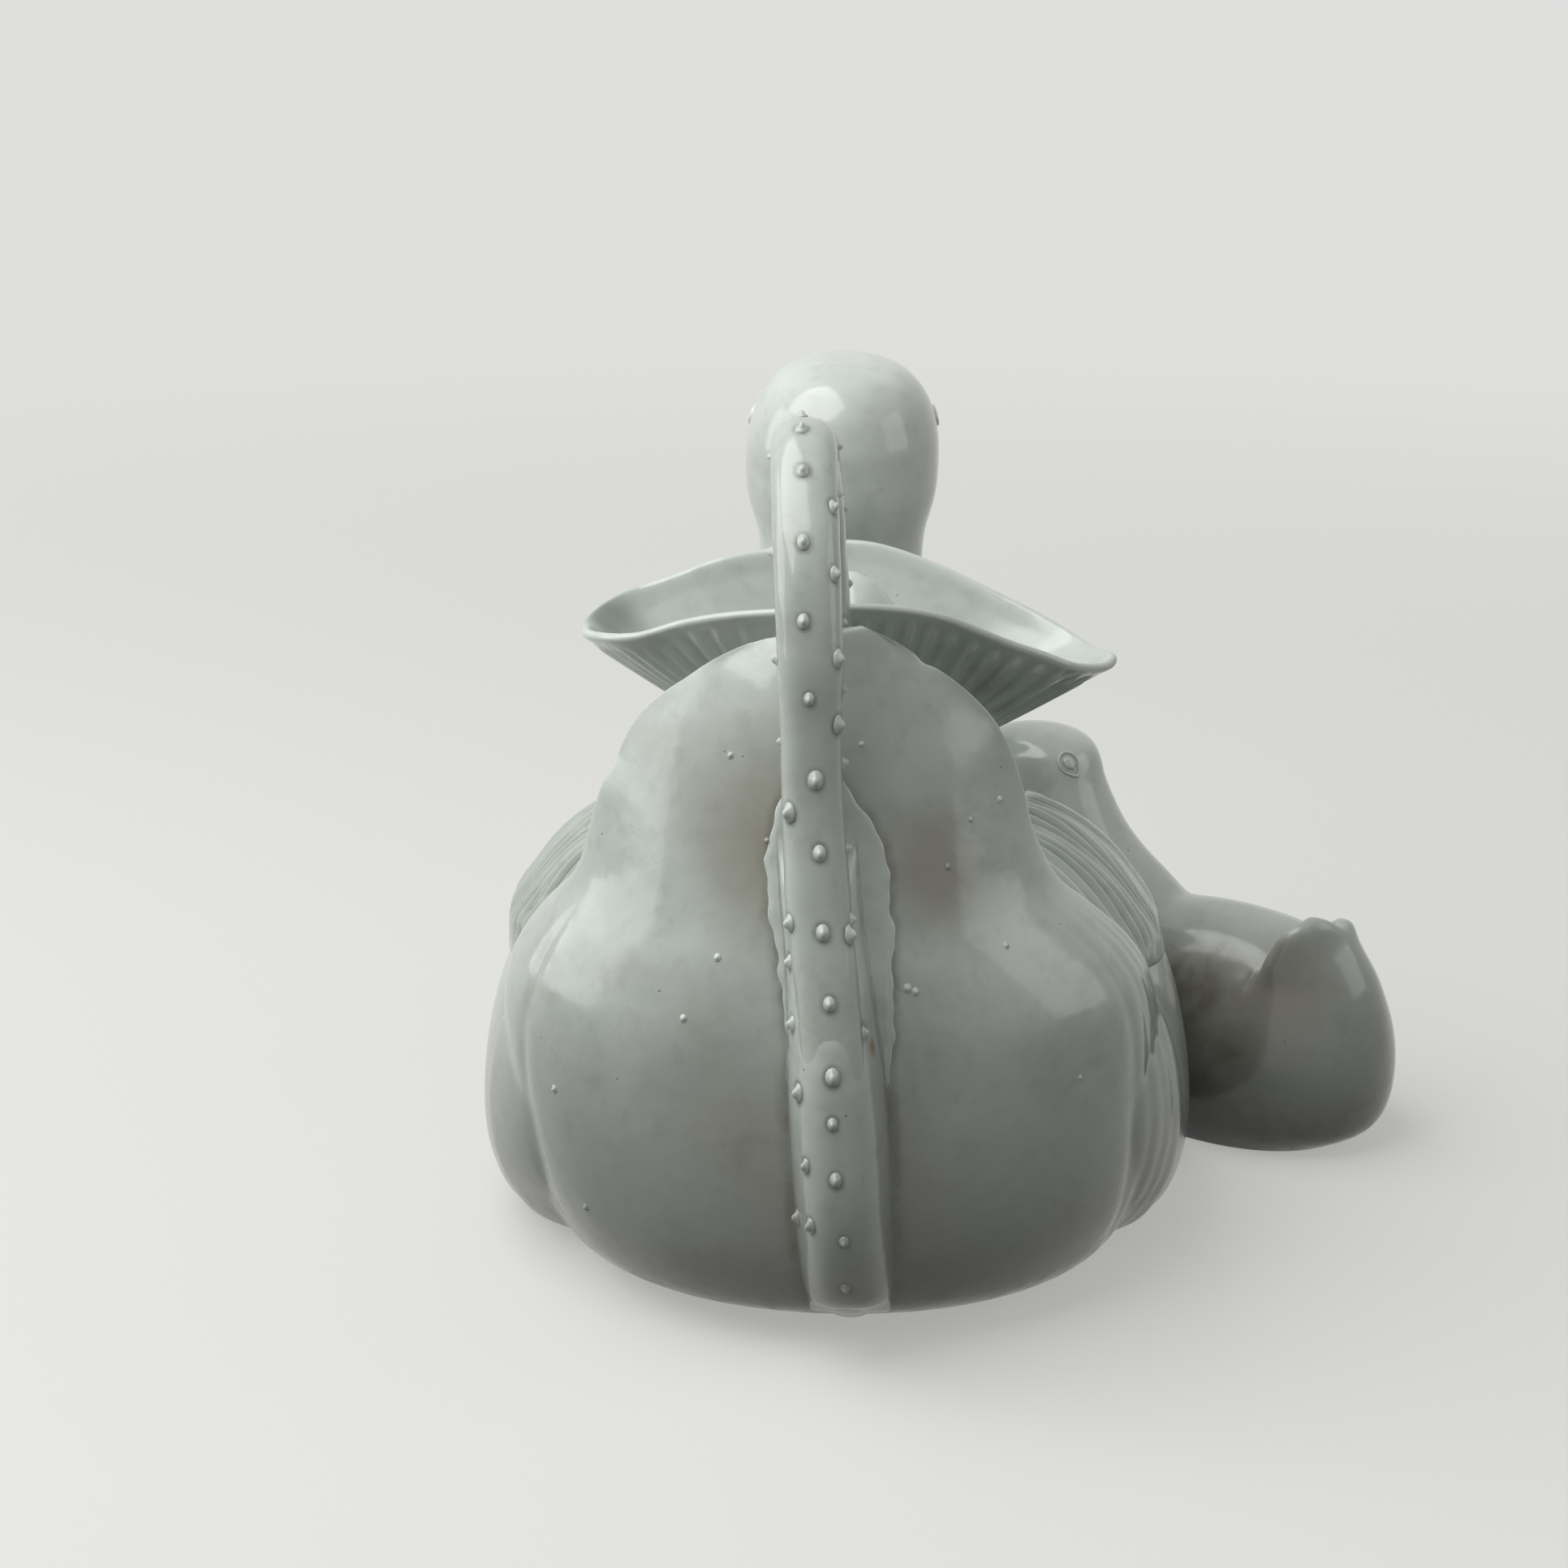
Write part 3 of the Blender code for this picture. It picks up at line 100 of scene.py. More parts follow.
# Egg-shaped body: height, half width, rear reach, front reach, and shares of them on the way up
BODY_SIZES = (0.119, 0.097, 0.096, 0.118)
BODY_WALL = 0.0045
BODY_BLUNTNESS = 2.2
BODY_SHARES = (
    (0.00, 0.80, 0.38, 0.62),
    (0.03, 0.905, 0.48, 0.79),
    (0.09, 0.965, 0.60, 0.88),
    (0.22, 1.00, 0.80, 0.96),
    (0.38, 0.995, 0.95, 1.00),
    (0.54, 0.955, 0.99, 0.97),
    (0.68, 0.875, 0.95, 0.88),
    (0.80, 0.765, 0.88, 0.745),
    (0.91, 0.605, 0.76, 0.57),
    (0.97, 0.44, 0.58, 0.43),
    (1.00, 0.22, 0.16, 0.27),
)
THROAT = Vector((0.0035, 0.013, 0.0))
THROAT_RADIUS = 0.010
COLLAR_HEIGHT = 0.0056
COLLAR_RADIUS = 0.0155
BODY_SIDES = 200
BODY_RINGS = 110

# Rump and tail fan: height, half width, rear reach, edge reach, thickness, lean
RUMP_SIZES = (0.186, 0.0865, 0.1045, 0.060, 0.020, 0.005)
# height, half width, rear reach, edge reach, roundness, middle thickness, edge thickness, lean
RUMP_SHARES = (
    (0.000, 0.785, 0.655, 0.27, 0.0, 1.75, 1.00, 0.35),
    (0.025, 0.855, 0.800, 0.30, 0.0, 1.85, 1.00, 0.35),
    (0.070, 0.910, 0.905, 0.35, 0.0, 1.85, 1.00, 0.30),
    (0.150, 0.965, 0.975, 0.42, 0.0, 1.60, 1.00, 0.2),
    (0.270, 0.995, 1.000, 0.49, 0.0, 1.20, 1.00, 0.0),
    (0.380, 1.000, 0.993, 0.56, 0.0, 1.00, 1.00, -0.1),
    (0.455, 0.970, 0.980, 0.63, 0.0, 1.00, 0.95, -0.2),
    (0.510, 0.910, 0.965, 0.69, 0.1, 0.95, 0.80, -0.4),
    (0.560, 0.820, 0.947, 0.76, 0.2, 0.85, 0.60, -0.7),
    (0.615, 0.710, 0.920, 0.85, 0.4, 0.65, 0.35, -0.9),
    (0.690, 0.645, 0.885, 0.93, 0.6, 0.40, 0.22, -0.95),
    (0.755, 0.610, 0.855, 0.97, 0.8, 0.32, 0.17, -1.0),
    (0.820, 0.555, 0.825, 1.01, 0.9, 0.28, 0.15, -1.0),
    (0.870, 0.485, 0.800, 1.05, 1.0, 0.26, 0.15, -1.0),
    (0.925, 0.360, 0.765, 1.12, 1.0, 0.24, 0.15, -0.8),
    (0.965, 0.225, 0.735, 1.17, 1.0, 0.22, 0.15, -0.5),
    (0.990, 0.090, 0.708, 1.195, 1.0, 0.20, 0.15, -0.2),
)
RIM_NARROWING = 0.75
# Where the fan starts on the way up the shell, number of its lobes, and their depth
FAN_LOBES = (0.60, 5.0, 0.0024)

# Creases along the rump's edge, and the finer ones on its right side, by turn from that edge
RUMP_CREASE = 0.42
RUMP_FINE_CREASES = (0.30, 0.20, 0.12)

# Wings: thickness, depth in the body, sway of the grooves and thickness of the edges
WING_CLAY = {"left": (0.0066, 0.0030, 0.4, 0.0004), "right": (0.0036, 0.0030, 1.3, 0.0004)}
SMALL_WING_CLAY = (0.0003, 0.0022, 0.9, -0.0008)
WING_GRID = (340, 70)
SMALL_WING_GRID = (160, 50)
SMALL_FEATHERS = 14.0
SMALL_GROOVE = 0.0003
FEATHER_FULLNESS = 0.62
# angle forward from straight aside, lower edge and upper edge as places on the body
WING_SHARES = (
    (-62.0, 0.740, 0.915),
    (-36.0, 0.650, 0.910),
    (-10.0, 0.580, 0.890),
    (17.0, 0.555, 0.840),
    (34.5, 0.600, 0.775),
    (43.0, 0.655, 0.705),
)
SMALL_WING_SHARES = (
    (-58.0, 0.640, 0.74),
    (-36.0, 0.560, 0.80),
    (-12.0, 0.490, 0.82),
    (12.0, 0.470, 0.80),
    (26.0, 0.520, 0.74),
    (34.0, 0.580, 0.68),
)

# Neck: height, place along Y and half width, then height, place, half width and half length in
# shares of them
NECK_SIZES = (0.172, 0.090, 0.0232)
NECK_X = -0.001
NECK_WALL = 0.0042
NECK_SHARES = (
    (0.40, 0.73, 1.64, 1.75),
    (0.55, 0.80, 1.46, 1.52),
    (0.70, 0.91, 1.16, 1.18),
    (0.82, 0.97, 1.03, 1.04),
    (0.93, 0.99, 1.00, 1.00),
    (1.00, 1.00, 1.035, 1.06),
)
# Head: height, half width, half length and lead over its seat, then shares of them
HEAD_SEAT = Vector((NECK_X, NECK_SIZES[1], NECK_SIZES[0]))
HEAD_SIZES = (0.0472, 0.0278, 0.033, 0.005)
HEAD_WALL = 0.0045
HEAD_SHARES = (
    (0.000, 0.885, 0.770, 0.0),
    (0.180, 0.985, 0.895, 0.4),
    (0.370, 1.000, 0.970, 0.8),
    (0.560, 0.975, 1.000, 1.0),
    (0.760, 0.860, 0.900, 0.9),
    (0.910, 0.640, 0.690, 0.8),
    (0.985, 0.320, 0.360, 0.8),
    (1.000, 0.080, 0.090, 0.8),
)
# Bill: length, half width, rise, drop and droop, then place along it, half width, rise and drop
BILL_SIZES = (0.039, 0.0145, 0.0155, 0.0095, 0.005)
BILL_WALL = 0.0021
BILL_WAY = 0.0028
BILL_LEVEL = 0.38
BILL_SHARES = (
    (0.00, 1.00, 1.00, 1.00),
    (0.44, 1.00, 1.00, 1.00),
    (0.60, 0.90, 0.76, 0.88),
    (0.78, 0.93, 0.54, 0.72),
    (0.92, 1.00, 0.44, 0.60),
    (1.00, 0.84, 0.37, 0.52),
)
# Pressed-on eye: place forward and up from the head's seat, then length and depth
EYE_PLACE = (0.012, 0.0285)
EYE_SIZES = (0.0085, 0.0008)

# Leaf: place across it from its left end to its tip, height of its rim above the throat
LEAF_HALF_WIDTH = 0.0715
LEAF_HALF_DEPTH = 0.034
LEAF_X = 0.0025
LEAF_RIM_HEIGHT = 0.175
LEAF_BOWL = 1.12
# Wall at the throat, how much thinner it is at the rim, and how much the rolled lip adds there
LEAF_WALL = 0.0030
LEAF_THINNING = 0.0012
LEAF_LIP = 0.0009
LEAF_SWELL = 0.0004
LEAF_COLUMNS = 560
LEAF_VEINS = 61.0
LEAF_RIM_SHARES = (
    (-1.00, 0.700),
    (-0.80, 0.805),
    (-0.50, 0.925),
    (-0.20, 0.985),
    (0.05, 1.000),
    (0.35, 0.895),
    (0.62, 0.735),
    (0.85, 0.590),
    (1.00, 0.545),
)
# Collar: how far each corner stands out from its radius and up from the body
COLLAR_CORNERS = (
    (0.0055, -0.0004), (0.0022, 0.0009), (0.0004, 0.0026), (0.0006, 0.0046), (0.0012, 0.0060),
)
BUD_SEAT = 0.0091
PLUG_LENGTH = 0.014
PLUG_GAP = 0.0005
BUD_HEIGHT = 0.049
BUD_RADIUS = 0.016
BUD_SHARES = (
    (0.00, 0.610),
    (0.07, 0.700),
    (0.16, 0.800),
    (0.30, 0.930),
    (0.45, 1.000),
    (0.60, 0.975),
    (0.74, 0.820),
    (0.84, 0.620),
    (0.91, 0.455),
    (0.965, 0.270),
    (1.00, 0.040),
)

# Stem: lean, rear reach and height, then lean, rear reach, height and thickness in shares of them
STEM_SIZES = (0.0074, 0.1145, 0.2275)
STEM_RADIUS = 0.0080
STEM_FLATNESS = 0.94
STEM_SQUARENESS = 0.84
STEM_SHARES = (
    (0.74, 0.600, 0.013, 0.80),
    (0.74, 0.785, 0.063, 0.88),
    (0.66, 0.925, 0.118, 0.97),
    (0.52, 0.998, 0.205, 1.00),
    (0.32, 0.990, 0.310, 1.00),
    (0.04, 0.955, 0.430, 1.00),
    (-0.34, 0.905, 0.540, 1.00),
    (-0.54, 0.872, 0.640, 0.97),
    (-0.62, 0.858, 0.730, 0.95),
    (-0.68, 0.846, 0.820, 1.00),
    (-0.82, 0.765, 0.920, 1.02),
    (-1.00, 0.545, 1.000, 1.03),
    (-0.86, 0.330, 0.930, 1.00),
    (-0.66, 0.278, 0.830, 0.98),
    (-0.50, 0.266, 0.745, 0.96),
    (-0.42, 0.208, 0.668, 0.94),
    (-0.36, 0.045, 0.625, 0.92),
)
# Prickles that the photograph shows, by pixel, and rows of others on the sides that it hides:
# turn round the stem from its outer side, first and last place along it, number of prickles
PRICKLE_PIXELS = (
    (988, 528), (989, 580), (990, 668), (990, 766), (997, 862), (1005, 962), (1010, 1052),
    (1014, 1150), (1022, 1238), (1026, 1328), (1026, 1386), (1030, 1455), (1040, 1531),
    (1042, 1588), (972, 1002), (973, 1138), (973, 1186), (976, 1262), (984, 1347), (993, 1437),
    (983, 1500), (999, 1511), (1027, 625), (1029, 708), (1033, 812), (1033, 893), (1049, 1133),
    (1047, 1152),
)
PRICKLE_SHARES = (
    (0.235, 0.310, 0.930, 11),
    (-0.235, 0.300, 0.945, 12),
    (0.020, 0.700, 0.955, 7),
    (0.400, 0.480, 0.900, 6),
    (-0.370, 0.500, 0.920, 7),
)
# Least distance of a prickle in the rows from another
PRICKLE_ROOM = 0.008
# Edges of the thin slip beside the stem's foot, by pixel
SLIP_LEFT_PIXELS = ((948, 1004), (942, 1060), (946, 1120), (958, 1190), (971, 1287))
SLIP_RIGHT_PIXELS = ((1062, 965), (1082, 1000), (1094, 1060), (1102, 1140), (1102, 1283))
# Top of the ochre mark on the slip, by pixel
OCHRE_PIXEL = (1075, 1290)
# Small blisters in the glaze of the rump, by pixel
BLISTER_PIXELS = (
    (1062, 917), (900, 931), (884, 1180), (683, 1342), (1331, 1328), (1240, 1165), (1128, 1222),
    (1118, 1218), (945, 1036), (1168, 1068), (842, 1255), (722, 1488), (1196, 1010), (1232, 985),
)

# Smaller bird, modelled looking along +Y and then turned into its place
SMALL_GRAIN = 0.00075
SMALL_PLACE = Vector((0.11202, 0.066, 0.0))
SMALL_HEADING = math.radians(55)
SMALL_SIZES = (0.064, 0.031, 0.048, 0.054)
SMALL_BODY_SHARES = (
    (0.00, 0.78, 0.74, 0.66),
    (0.08, 0.91, 0.90, 0.84),
    (0.24, 1.00, 0.99, 0.97),
    (0.45, 0.99, 1.00, 1.00),
    (0.64, 0.91, 0.96, 0.94),
    (0.80, 0.76, 0.86, 0.80),
    (0.92, 0.52, 0.66, 0.56),
    (0.985, 0.26, 0.38, 0.28),
    (1.00, 0.06, 0.08, 0.06),
)
SMALL_FAN_LOBES = (0.74, 4.5, 0.0010)
SMALL_TAIL_SIZES = (0.0685, 0.0315, 0.0545, 0.026, 0.013, 0.002)
SMALL_TAIL_SHARES = (
    (0.00, 0.76, 0.730, 0.25, 0.0, 1.00, 1.00, 0.0),
    (0.05, 0.87, 0.880, 0.35, 0.0, 1.00, 1.00, 0.0),
    (0.14, 0.95, 0.970, 0.42, 0.0, 1.00, 1.00, 0.0),
    (0.30, 1.00, 1.000, 0.50, 0.0, 1.00, 1.00, 0.0),
    (0.48, 0.99, 0.985, 0.58, 0.0, 1.00, 1.00, 0.0),
    (0.64, 0.87, 0.935, 0.74, 0.1, 1.00, 0.90, -0.3),
    (0.77, 0.70, 0.870, 0.92, 0.3, 0.90, 0.60, -0.7),
    (0.87, 0.57, 0.810, 1.06, 0.6, 0.60, 0.35, -1.1),
    (0.94, 0.47, 0.775, 1.15, 0.9, 0.42, 0.30, -1.4),
    (0.98, 0.34, 0.760, 1.23, 1.0, 0.38, 0.30, -1.5),
    (1.00, 0.19, 0.750, 1.29, 1.0, 0.36, 0.30, -1.5),
)
SMALL_NECK_SIZES = (0.0825, 0.0634, 0.0158)
SMALL_NECK_SHARES = (
    (0.38, 0.47, 1.70, 1.80),
    (0.58, 0.59, 1.56, 1.86),
    (0.73, 0.71, 1.44, 1.80),
    (0.83, 0.84, 1.34, 1.64),
    (0.92, 0.94, 1.28, 1.50),
    (1.01, 0.99, 1.22, 1.36),
    (1.11, 1.02, 1.12, 1.20),
    (1.19, 1.03, 0.90, 0.95),
)
SMALL_HEAD_SIZES = (0.0245, 0.0178, 0.0200, 0.0030)
SMALL_HEAD_TURN = math.radians(10)
SMALL_BILL_SIZES = (0.0165, 0.0065, 0.0046, 0.0034, 0.0020)
# Its drop-shaped eye: length, depth, length of the drop's tail and tilt
SMALL_EYE = (0.0088, 0.0005, 0.35, math.radians(-58))
# How deep what is luted on the body reaches into its wall
LUTE_DEPTH = 0.0022

# The photograph's view in its 1932 pixel frame
PHOTO_SIDE = 1932
LENS = 85.0
SENSOR = 36.0
CAMERA_PLACE = Vector((0.0186, -0.9505, 0.4300))
CAMERA_AIM = Vector((-0.0146, 0.0, 0.1210))
SMALL_EYE_PIXEL = (1317, 940)

# Brownish grey of smoked glaze, dark green painted shade for the leaf, grey of the lower parts that
# is partly painted shade, old slip, grit
SMOKE = (0.285, 0.264, 0.208)
LEAF_SHADE_GREEN = (0.150, 0.180, 0.155)
LOW_GREY_AND_SHADE = (0.125, 0.130, 0.116)
OCHRE = (0.330, 0.220, 0.095)
GRIT = (0.16, 0.13, 0.10)
# Stains: centre, radius and strength. Washes: the same, then a tint. A centre is a place on the
# object, or a pixel where it lies on the leaf or the smaller bird
RUMP_STAINS = (
    ((-0.009, -0.094, 0.134), 0.014, 0.34),
    ((-0.018, -0.103, 0.060), 0.016, 0.20),
    ((0.024, -0.103, 0.080), 0.016, 0.18),
    ((-0.030, -0.095, 0.004), 0.030, 0.35),
    ((0.035, -0.088, 0.004), 0.030, 0.30),
)
RUMP_WASHES = (
    ((-0.013, -0.090, 0.138), 0.036, 0.75, SMOKE),
    ((0.031, -0.088, 0.128), 0.027, 0.85, SMOKE),
    ((0.006, -0.100, 0.165), 0.026, 0.35, SMOKE),
    ((0.006, -0.104, 0.050), 0.052, 0.45, SMOKE),
    ((-0.030, -0.104, 0.070), 0.030, 0.30, SMOKE),
)
LEAF_STAINS = (((1215, 840), 0.009, 0.42), ((1240, 870), 0.006, 0.3))
# Painted shade on the leaf: at its left end and on its outer right side
LEAF_SHADE_WASHES = (
    ((752, 764), 0.020, 0.80, LEAF_SHADE_GREEN),
    ((1180, 830), 0.034, 0.42, LEAF_SHADE_GREEN),
    ((1290, 850), 0.022, 0.32, LEAF_SHADE_GREEN),
)
SMALL_STAINS = (
    ((1442, 1186), 0.010, 0.90),
    ((1470, 1230), 0.026, 0.72),
    ((1515, 1287), 0.015, 0.60),
    ((1460, 1330), 0.022, 0.50),
)
SMALL_WASHES = (((1600, 1215), 0.026, 0.55, SMOKE), ((1540, 1250), 0.030, 0.45, SMOKE))

# Lamps: place, size and colour
LAMPS = {
    "key": ((-0.62, -0.22, 1.25), (1.50, 1.30), (1.0, 1.0, 0.99)),
    "left": ((-1.22, 0.10, 0.42), (1.00, 0.66), (0.98, 1.0, 0.99)),
    "right": ((1.15, -0.10, 0.50), (0.70, 0.66), (0.98, 1.0, 0.99)),
}
LAMP_AIM = (0.0, 0.0, 0.10)
FLOOR_REACH = 7.0
SKY_SEEN = 0.74


class EwerClay(bpy.types.PropertyGroup):
    """Sizes of the modelled detail."""

    feather_depth: bpy.props.FloatProperty(
        name="Feather groove", description="Depth of the grooves between the feathers",
        default=0.0017, min=0.0, unit="LENGTH")
    feather_count: bpy.props.FloatProperty(
        name="Feathers", description="Number of feathers along a wing", default=22.0, min=1.0)
    vein_depth: bpy.props.FloatProperty(
        name="Leaf vein", description="Height of the veins under the leaf",
        default=0.0013, min=0.0, unit="LENGTH")
    prickle_height: bpy.props.FloatProperty(
        name="Prickle height", description="How far a prickle stands off the stem",
        default=0.0017, min=0.0, unit="LENGTH")
    prickle_radius: bpy.props.FloatProperty(
        name="Prickle radius", description="Radius of a prickle at its foot",
        default=0.0016, min=0.0, unit="LENGTH")
    wobble: bpy.props.FloatProperty(
        name="Hand wobble", description="Unevenness left by the modeller's hands",
        default=0.0004, min=0.0, unit="LENGTH")


class EwerGlaze(bpy.types.PropertyGroup):
    """Colours and gloss of the fired surfaces."""

    white: bpy.props.FloatVectorProperty(
        name="Glaze", description="Glaze over the flat places", subtype="COLOR", size=3,
        default=(0.552, 0.600, 0.556), min=0.0, max=1.0)
    # Pooled glaze colour, also used as painted shade in the feather grooves and joints
    pool: bpy.props.FloatVectorProperty(
        name="Pooled glaze", description="Thick glaze in the hollows", subtype="COLOR", size=3,
        default=(0.160, 0.200, 0.172), min=0.0, max=1.0)
    edge: bpy.props.FloatVectorProperty(
        name="Thin glaze", description="Thin glaze on edges and ridges", subtype="COLOR", size=3,
        default=(0.695, 0.740, 0.710), min=0.0, max=1.0)
    # Also the colour of the painted shade near joints
    dirt: bpy.props.FloatVectorProperty(
        name="Stain", description="Brown stain of the firing and old dirt", subtype="COLOR", size=3,
        default=(0.125, 0.098, 0.066), min=0.0, max=1.0)
    biscuit: bpy.props.FloatVectorProperty(
        name="Biscuit", description="Unglazed porcelain", subtype="COLOR", size=3,
        default=(0.72, 0.67, 0.58), min=0.0, max=1.0)
    roughness: bpy.props.FloatProperty(
        name="Roughness", description="Roughness of the glaze", default=0.17, min=0.0, max=1.0,
        subtype="FACTOR")


class EwerStudio(bpy.types.PropertyGroup):
    """Floor and light."""

    floor: bpy.props.FloatVectorProperty(
        name="Floor", description="Colour of the floor", subtype="COLOR", size=3,
        default=(0.84, 0.84, 0.83), min=0.0, max=1.0)
    floor_bounce: bpy.props.FloatVectorProperty(
        name="Floor bounce", description="Colour of the floor in the light that it throws back",
        subtype="COLOR", size=3, default=(0.13, 0.13, 0.125), min=0.0, max=1.0)
    key: bpy.props.FloatProperty(
        name="Top light", description="Power of the large light above, on the left", default=18.0,
        min=0.0, unit="POWER")
    left: bpy.props.FloatProperty(
        name="Left light", description="Power of the tall light on the left", default=3.8,
        min=0.0, unit="POWER")
    right: bpy.props.FloatProperty(
        name="Right light", description="Power of the tall light on the right", default=1.6,
        min=0.0, unit="POWER")
    sky: bpy.props.FloatProperty(
        name="Room light", description="Strength of the even light all round", default=0.20,
        min=0.0)


def rows_at(table, shares):
    """Rows of a table at shares of the way through it, on a smooth curve through its rows."""
    data = np.array(table, float)
    last = len(data) - 1
    place = np.clip(np.atleast_1d(shares), 0, 1) * last
    index = np.minimum(place.astype(int), last - 1)
    t = (place - index)[:, None]
    before = data[np.maximum(index - 1, 0)]
    start = data[index]
    end = data[index + 1]
    after = data[np.minimum(index + 2, last)]
    tangent_in = (end - before) / 2
    tangent_out = (after - start) / 2
    cube = 2 * start - 2 * end + tangent_in + tangent_out
    square = 3 * end - 3 * start - 2 * tangent_in - tangent_out
    return ((cube * t + square) * t + tangent_in) * t + start


def rows_where(table, keys):
    """Rows of a table whose first value is each key; the first values only rise."""
    dense = rows_at(table, np.linspace(0, 1, 600))
    return np.stack([np.interp(keys, dense[:, 0], column) for column in dense.T], axis=1)


def soft_step(value, low, high):
    """Smooth rise from 0 at low to 1 at high, which may be the smaller of the two."""
    t = np.clip((value - low) / (high - low), 0, 1)
    return t * t * (3 - 2 * t)


def power(value, exponent):
    return np.sign(value) * np.abs(value) ** exponent


def noise_at(points, scale, seed=0.0):
    """Smooth waves in three directions, standing in for the unevenness of handwork."""
    p = np.asarray(points) * scale + seed
    x, y, z = p[..., 0], p[..., 1], p[..., 2]
    total = np.sin(x + 1.7 * np.sin(0.8 * y + seed)) * np.cos(1.3 * z + np.sin(x))
    total += 0.5 * np.sin(2.3 * y + np.sin(1.9 * z + x))
    total += 0.3 * np.sin(3.7 * z + 2.1 * np.cos(y - x))
    return total / 1.8


def grid_normals(points, outward):
    """Unit normals of a grid of points, turned to the side of outward."""
    across = np.gradient(points, axis=1)
    along = np.gradient(points, axis=0)
    normals = np.cross(across, along)
    normals /= np.maximum(np.linalg.norm(normals, axis=-1, keepdims=True), 1e-12)
    sign = np.sign(np.sum(normals * outward, axis=-1, keepdims=True))
    return normals * np.where(sign == 0, 1, sign)


def add_object(name, data):
    made = bpy.data.objects.new(name, data)
    bpy.context.scene.collection.objects.link(made)
    return made


def drop(pieces):
    for piece in pieces:
        bpy.data.objects.remove(piece, do_unlink=True)


def keep_values(mesh, key, values, kind="FLOAT"):
    """Stores a number, or a direction, for each point of a mesh."""
    field = "value" if kind == "FLOAT" else "vector"
    mesh.attributes.new(key, kind, "POINT").data.foreach_set(field, values)


def new_piece(name, vertices, faces, values=None):
    """Closed smooth mesh whose faces point outwards. values holds one number for each vertex."""
    mesh = bpy.data.meshes.new(name)
    mesh.from_pydata(vertices, [], faces)
    work = bmesh.new()
    work.from_mesh(mesh)
    bmesh.ops.recalc_face_normals(work, faces=work.faces)
    if work.calc_volume(signed=True) < 0:
        bmesh.ops.reverse_faces(work, faces=work.faces)
    work.to_mesh(mesh)
    work.free()
    for key, numbers in (values or {}).items():
        numbers = np.asarray(numbers, np.float32).ravel()
        padded = np.zeros(len(vertices), np.float32)
        padded[:len(numbers)] = numbers
        keep_values(mesh, key, padded)
    mesh.shade_smooth()
    return add_object(name, mesh)


def loft(name, rings, wrap=False, cap="fan", values=None):
    """Closed mesh through rings of equal count, capped at its ends or joined when wrap is set."""
    rings = np.asarray(rings, float)
    rows, count = rings.shape[:2]
    index = np.arange(rows * count).reshape(rows, count)
    lower = index if wrap else index[:-1]
    upper = np.roll(index, -1, axis=0) if wrap else index[1:]
    corners = (lower, np.roll(lower, -1, axis=1), np.roll(upper, -1, axis=1), upper)
    faces = np.stack(corners, axis=-1).reshape(-1, 4).tolist()
    vertices = rings.reshape(-1, 3).tolist()
    if not wrap:
        for ring in (index[0], index[-1]):
            if cap == "fan":
                hub = len(vertices)
                vertices.append(rings.reshape(-1, 3)[ring].mean(axis=0).tolist())
                faces += [[int(ring[i]), int(ring[(i + 1) % count]), hub] for i in range(count)]
            else:
                for i in range(count // 2 - 1):
                    opposite = count - 1 - i
                    corners = (ring[i], ring[i + 1], ring[opposite - 1], ring[opposite])
                    faces.append([int(corner) for corner in corners])
    return new_piece(name, vertices, faces, values)


def shell(name, outer, inner):
    """Closed mesh between an outer and an inner sheet of clay."""
    return loft(name, np.concatenate([outer, inner[:, ::-1]], axis=1), cap="ladder")


def oval_rings(centres, half_widths, half_lengths, sides):
    turns = np.linspace(0, math.tau, sides, endpoint=False)
    spread = np.zeros((len(centres), sides, 3))
    spread[..., 0] = np.outer(half_widths, np.cos(turns))
    spread[..., 1] = np.outer(half_lengths, np.sin(turns))
    return np.asarray(centres, float)[:, None, :] + spread


def lathe(name, profile, axis, sides, wrap=False):
    """Round piece on an upright axis through pairs of radius and height."""
    profile = np.asarray(profile, float)
    centres = np.zeros((len(profile), 3))
    centres[:, :2] = axis[:2]
    centres[:, 2] = profile[:, 1]
    return loft(name, oval_rings(centres, profile[:, 0], profile[:, 0], sides), wrap=wrap)


def throat_rings(levels, sides):
    """Rings of the round hole through the body, the collar and the leaf."""
    radii = [THROAT_RADIUS] * len(levels)
    return oval_rings([THROAT + UP * level for level in levels], radii, radii, sides)


def surface_of(piece):
    """Search tree of a piece's surface."""
    mesh = piece.data
    corners = [vertex.co for vertex in mesh.vertices]
    return BVHTree.FromPolygons(corners, [face.vertices for face in mesh.polygons])


def settle(piece):
    """Turns what a piece's modifiers make of it into its own plain mesh."""
    bpy.context.view_layer.update()
    evaluated = piece.evaluated_get(bpy.context.evaluated_depsgraph_get())
    mesh = bpy.data.meshes.new_from_object(evaluated)
    piece.modifiers.clear()
    piece.data = mesh
    mesh.shade_smooth()
    return piece


def carve(piece, *others):
    """Cuts the others from a piece and drops them."""
    for other in others:
        step = piece.modifiers.new("cut", "BOOLEAN")
        step.operation = "DIFFERENCE"
        step.solver = "EXACT"
        step.object = other
    settle(piece)
    drop(others)
    return piece


def soften(piece, passes):
    """Adds a smoothing step to a piece."""
    step = piece.modifiers.new("soften", "SMOOTH")
    step.factor = 0.5
    step.iterations = passes


def fuse(piece, others, grain, passes):
    """One skin over several overlapping forms, with its joints smoothed as wet clay is."""
    work = bmesh.new()
    for form in (piece, *others):
        work.from_mesh(form.data)
    work.to_mesh(piece.data)
    work.free()
    drop(others)
    skin = piece.modifiers.new("skin", "REMESH")
    skin.mode = "VOXEL"
    skin.voxel_size = grain
    soften(piece, passes)
    return settle(piece)


def mesh_arrays(piece):
    """Places of a piece's points, and the two points of each edge."""
    mesh = piece.data
    places = np.zeros(len(mesh.vertices) * 3)
    mesh.vertices.foreach_get("co", places)
    ends = np.zeros(len(mesh.edges) * 2, int)
    mesh.edges.foreach_get("vertices", ends)
    first, second = ends.reshape(-1, 2).T
    return places.reshape(-1, 3), first, second


